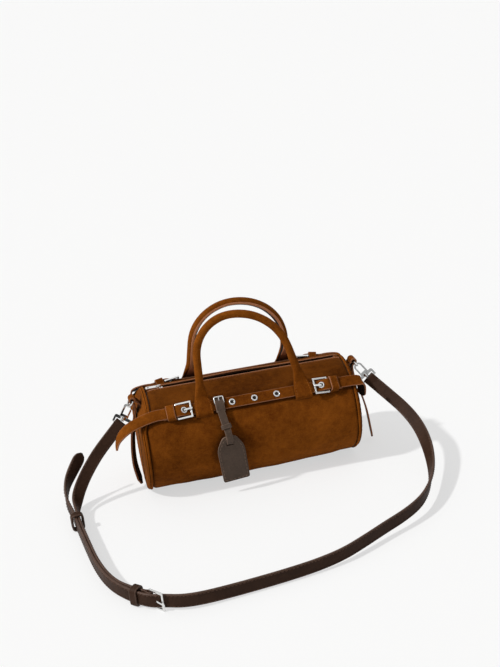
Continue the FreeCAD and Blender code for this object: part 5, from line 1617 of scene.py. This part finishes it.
class TagOperator(bpy.types.Operator):
    """Leather tag with its loop, strap, keeper and stitched panel"""
    bl_idname = "bag.tag"
    bl_label = "Tag"

    def execute(self, context):
        self.loop()
        self.strap()
        self.panel(context.scene.bag_sizes)
        return {"FINISHED"}

    def loop(self):
        """Loop round the belt, with the small buckle on its face."""
        place = belt_frame(False) @ Matrix.Translation(mm(TAG_LOOP_X, 0, 0))
        across, out = place.to_3x3() @ X_AXIS, place.to_3x3() @ Z_AXIS
        build = Build()
        band(build, place, TAG_LOOP_STRIP, round_loop(*TAG_LOOP))
        cover = spline_points([place @ mm(0, y, lift) for y, lift in TAG_COVER], 4)
        build.flat_run(cover, across, *strap_section(*TAG_COVER_SECTION))
        piece = build.object("tag_belt_loop", finishes("tag_leather", "tag_edge_paint", "tag_leather"))
        dress(piece, "bag", "tag_leather", "tag_loop")
        wire = Build()
        half_x, half_y = TAG_WIRE_HALF
        path = round_loop(half_x, -half_y, half_y, TAG_WIRE_CORNER)
        line = [place @ mm(x, y + half_y, TAG_WIRE_OUT) for x, y in path]
        stations = [(point, run.cross(out), out) for point, run in zip(line, ring_runs(line))]
        wire.sweep(stations, soft_ring(*TAG_WIRE_RING), [FACE] * TAG_WIRE_RING[-1], loop=True)
        prong = [place @ mm(0, y, lift) for y, lift in TAG_PRONG]
        wire.flat_run(prong, across, soft_ring(*TAG_PRONG_RING), [FACE] * TAG_PRONG_RING[-1])
        dress(wire.object("tag_small_buckle", finishes("chrome")), "bag", "hardware", "tag_buckle")

    def strap(self):
        """Doubled strap from the small buckle to the panel's slot, bending below the belt, and its keeper."""
        place = belt_frame(False)
        flex = place @ mm(TAG_LOOP_X, *TAG_FLEX)
        knee = mm(*TAG_KNEE)
        controls = [place @ mm(TAG_LOOP_X, y, lift) for y, lift in TAG_STRAP_TOP]
        controls += [flex, flex.lerp(knee, 0.33), flex.lerp(knee, 0.66), knee]
        controls += [mm(TAG_X, y, z) for y, z in TAG_STRAP_DOWN]
        line = spline_points(controls, 7)
        section, tags = strap_section(*TAG_STRAP_SECTION)
        stations, sections = [], []
        for centre, along in zip(line, tangents_of(line)):
            across = square_to(X_AXIS, along)
            stations.append((centre, across, along.cross(across)))
            share = 1 - TAG_STRAP_NARROWING * (1 - smooth_share(76, 90, centre.z / MM))
            sections.append([(u * share, v) for u, v in section])
        build = Build()
        build.sweep(stations, sections, tags)
        leather = finishes("tag_leather", "tag_edge_paint", "tag_leather")
        piece = build.object("tag_hanging_strap", leather)
        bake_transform(piece)
        dress(piece, None, "tag_leather", "tag_strap")
        down = (knee - flex).normalized()
        across = square_to(X_AXIS, down)
        turn = Matrix((down, across, down.cross(across))).transposed().to_4x4()
        build = Build()
        band(build, Matrix.Translation(flex.lerp(knee, TAG_KEEPER_SHARE)) @ turn, TAG_KEEPER_STRIP,
             round_loop(*TAG_KEEPER_LOOP))
        dress(build.object("tag_keeper_loop", leather), "tag", "tag_leather", "tag_keeper")

    def outline(self, inset):
        """Shield outline in the panel's own plane, with round corners."""
        (top_x, top), (hip_x, hip), (foot_x, foot) = TAG_HALVES
        right = ((top_x - inset, TAG_TOP - top - inset), (hip_x - inset, TAG_TOP - hip - inset * 0.3),
                 (foot_x - inset, TAG_TOP - foot + inset))
        corners = [(TAG_X + x, z) for x, z in right] + [(TAG_X - x, z) for x, z in reversed(right)]
        path = []
        count = len(corners)
        for number, (corner, bend) in enumerate(zip(corners, TAG_CORNERS)):
            here = Vector(corner)
            before = (Vector(corners[number - 1]) - here).normalized()
            after = (Vector(corners[(number + 1) % count]) - here).normalized()
            for step in range(5):
                share = step / 4
                one, two = here + before * bend * (1 - share), here + after * bend * share
                path.append(self.leaned(one.lerp(two, share)))
        return path

    def leaned(self, point):
        """The panel hangs a little off plumb, about its slot."""
        return TAG_HINGE + Matrix.Rotation(TAG_LEAN, 2) @ (point - TAG_HINGE)

    def panel(self, sizes):
        """Two leathers sewn together with rows of stitches, with the strap's slot."""
        curve = bpy.data.curves.new("tag_outline", "CURVE")
        curve.dimensions = "2D"
        curve.fill_mode = "BOTH"
        slot = [self.leaned(Vector((TAG_X + x, z))) for x, z in TAG_SLOT]
        for path in (self.outline(TAG_ROUND), slot):
            spline = curve.splines.new("POLY")
            spline.points.add(len(path) - 1)
            for place, point in zip(spline.points, path):
                place.co = (point.x * MM, point.y * MM, 0, 1)
            spline.use_cyclic_u = True
        curve.extrude = TAG_CORE * MM
        curve.bevel_depth = TAG_ROUND * MM
        curve.bevel_resolution = 2
        holder = linked("tag_outline", curve)
        flat = bpy.data.meshes.new_from_object(holder)
        bpy.data.objects.remove(holder)
        bpy.data.curves.remove(curve)
        build = Build()
        middle = (TAG_FRONT + TAG_BACK) / 2 * MM
        points = [Vector((vertex.co.x, middle - vertex.co.z, vertex.co.y)) for vertex in flat.vertices]
        finish = [EDGE if abs(polygon.normal.z) < 0.5 else FACE for polygon in flat.polygons]
        build.add(points, [tuple(polygon.vertices) for polygon in flat.polygons], finish)
        bpy.data.meshes.remove(flat)
        row = self.outline(TAG_STITCH_INSET)
        for y, normal in ((TAG_FRONT, -Y_AXIS), (TAG_BACK, Y_AXIS)):
            line = [mm(point.x, y, point.y) for point in row + row[:1]]
            build.stitches(line, [normal] * len(line), sizes, scale=TAG_STITCH_SCALE)
        piece = build.object("tag_shield",
                             finishes("tag_leather", "tag_edge_paint", "tag_leather", "leather_thread"))
        dress(piece, "tag", "tag_leather", "tag_panel")


# Hardware

class HardwareOperator(bpy.types.Operator):
    """Polished finish and soft edges on the metal pieces, and a cover on the base board"""
    bl_idname = "bag.hardware"
    bl_label = "Hardware"

    def execute(self, context):
        for name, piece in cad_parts.items():
            if name == "base_board":
                finish = finishes("board_cover")[0]
            elif name.startswith("zip_chain"):
                finish = finishes("zip_teeth")[0]
            elif name.startswith(METAL):
                finish = finishes("chrome")[0]
            else:
                continue
            if not piece.material_slots:
                raise RuntimeError("%s has no material slot" % name)
            for slot in piece.material_slots:
                slot.material = finish
            soften(piece, "soft_edges", METAL_SOFT_EDGE, 40)
        return {"FINISHED"}


class BagPanel(bpy.types.Panel):
    """Lists the steps and the settings of the bag"""
    bl_idname = "VIEW3D_PT_bag"
    bl_label = "Suede barrel bag"
    bl_space_type = "VIEW_3D"
    bl_region_type = "UI"
    bl_category = "Bag"

    def draw(self, context):
        for step in STEPS:
            self.layout.operator(step.bl_idname)
        for group in (context.scene.bag_sizes, context.scene.bag_colours, context.scene.bag_stage):
            for name in group.__annotations__:
                self.layout.prop(group, name)


STEPS = (StageOperator, StrapOperator, BarrelOperator, ZipOperator, BeltOperator, HandleOperator,
         RingTabOperator, TagOperator, HardwareOperator)
GROUPS = {"bag_sizes": BagSizes, "bag_colours": BagColours, "bag_stage": StageSettings}


def register():
    """Make the settings, the steps and the panel known."""
    for name, group in GROUPS.items():
        bpy.utils.register_class(group)
        setattr(bpy.types.Scene, name, PointerProperty(type=group))
    for step in STEPS:
        bpy.utils.register_class(step)
    bpy.utils.register_class(BagPanel)


def unregister():
    """Take them all away again."""
    bpy.utils.unregister_class(BagPanel)
    for step in reversed(STEPS):
        bpy.utils.unregister_class(step)
    for name, group in GROUPS.items():
        delattr(bpy.types.Scene, name)
        bpy.utils.unregister_class(group)


def main():
    """Run every step in order."""
    register()
    bpy.ops.bag.stage()
    bpy.ops.bag.shoulder_strap()
    bpy.ops.bag.barrel()
    bpy.ops.bag.zip_tapes()
    bpy.ops.bag.belts()
    bpy.ops.bag.handles()
    bpy.ops.bag.ring_tabs()
    bpy.ops.bag.tag()
    bpy.ops.bag.hardware()
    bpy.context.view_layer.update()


if __name__ == "__main__":
    main()
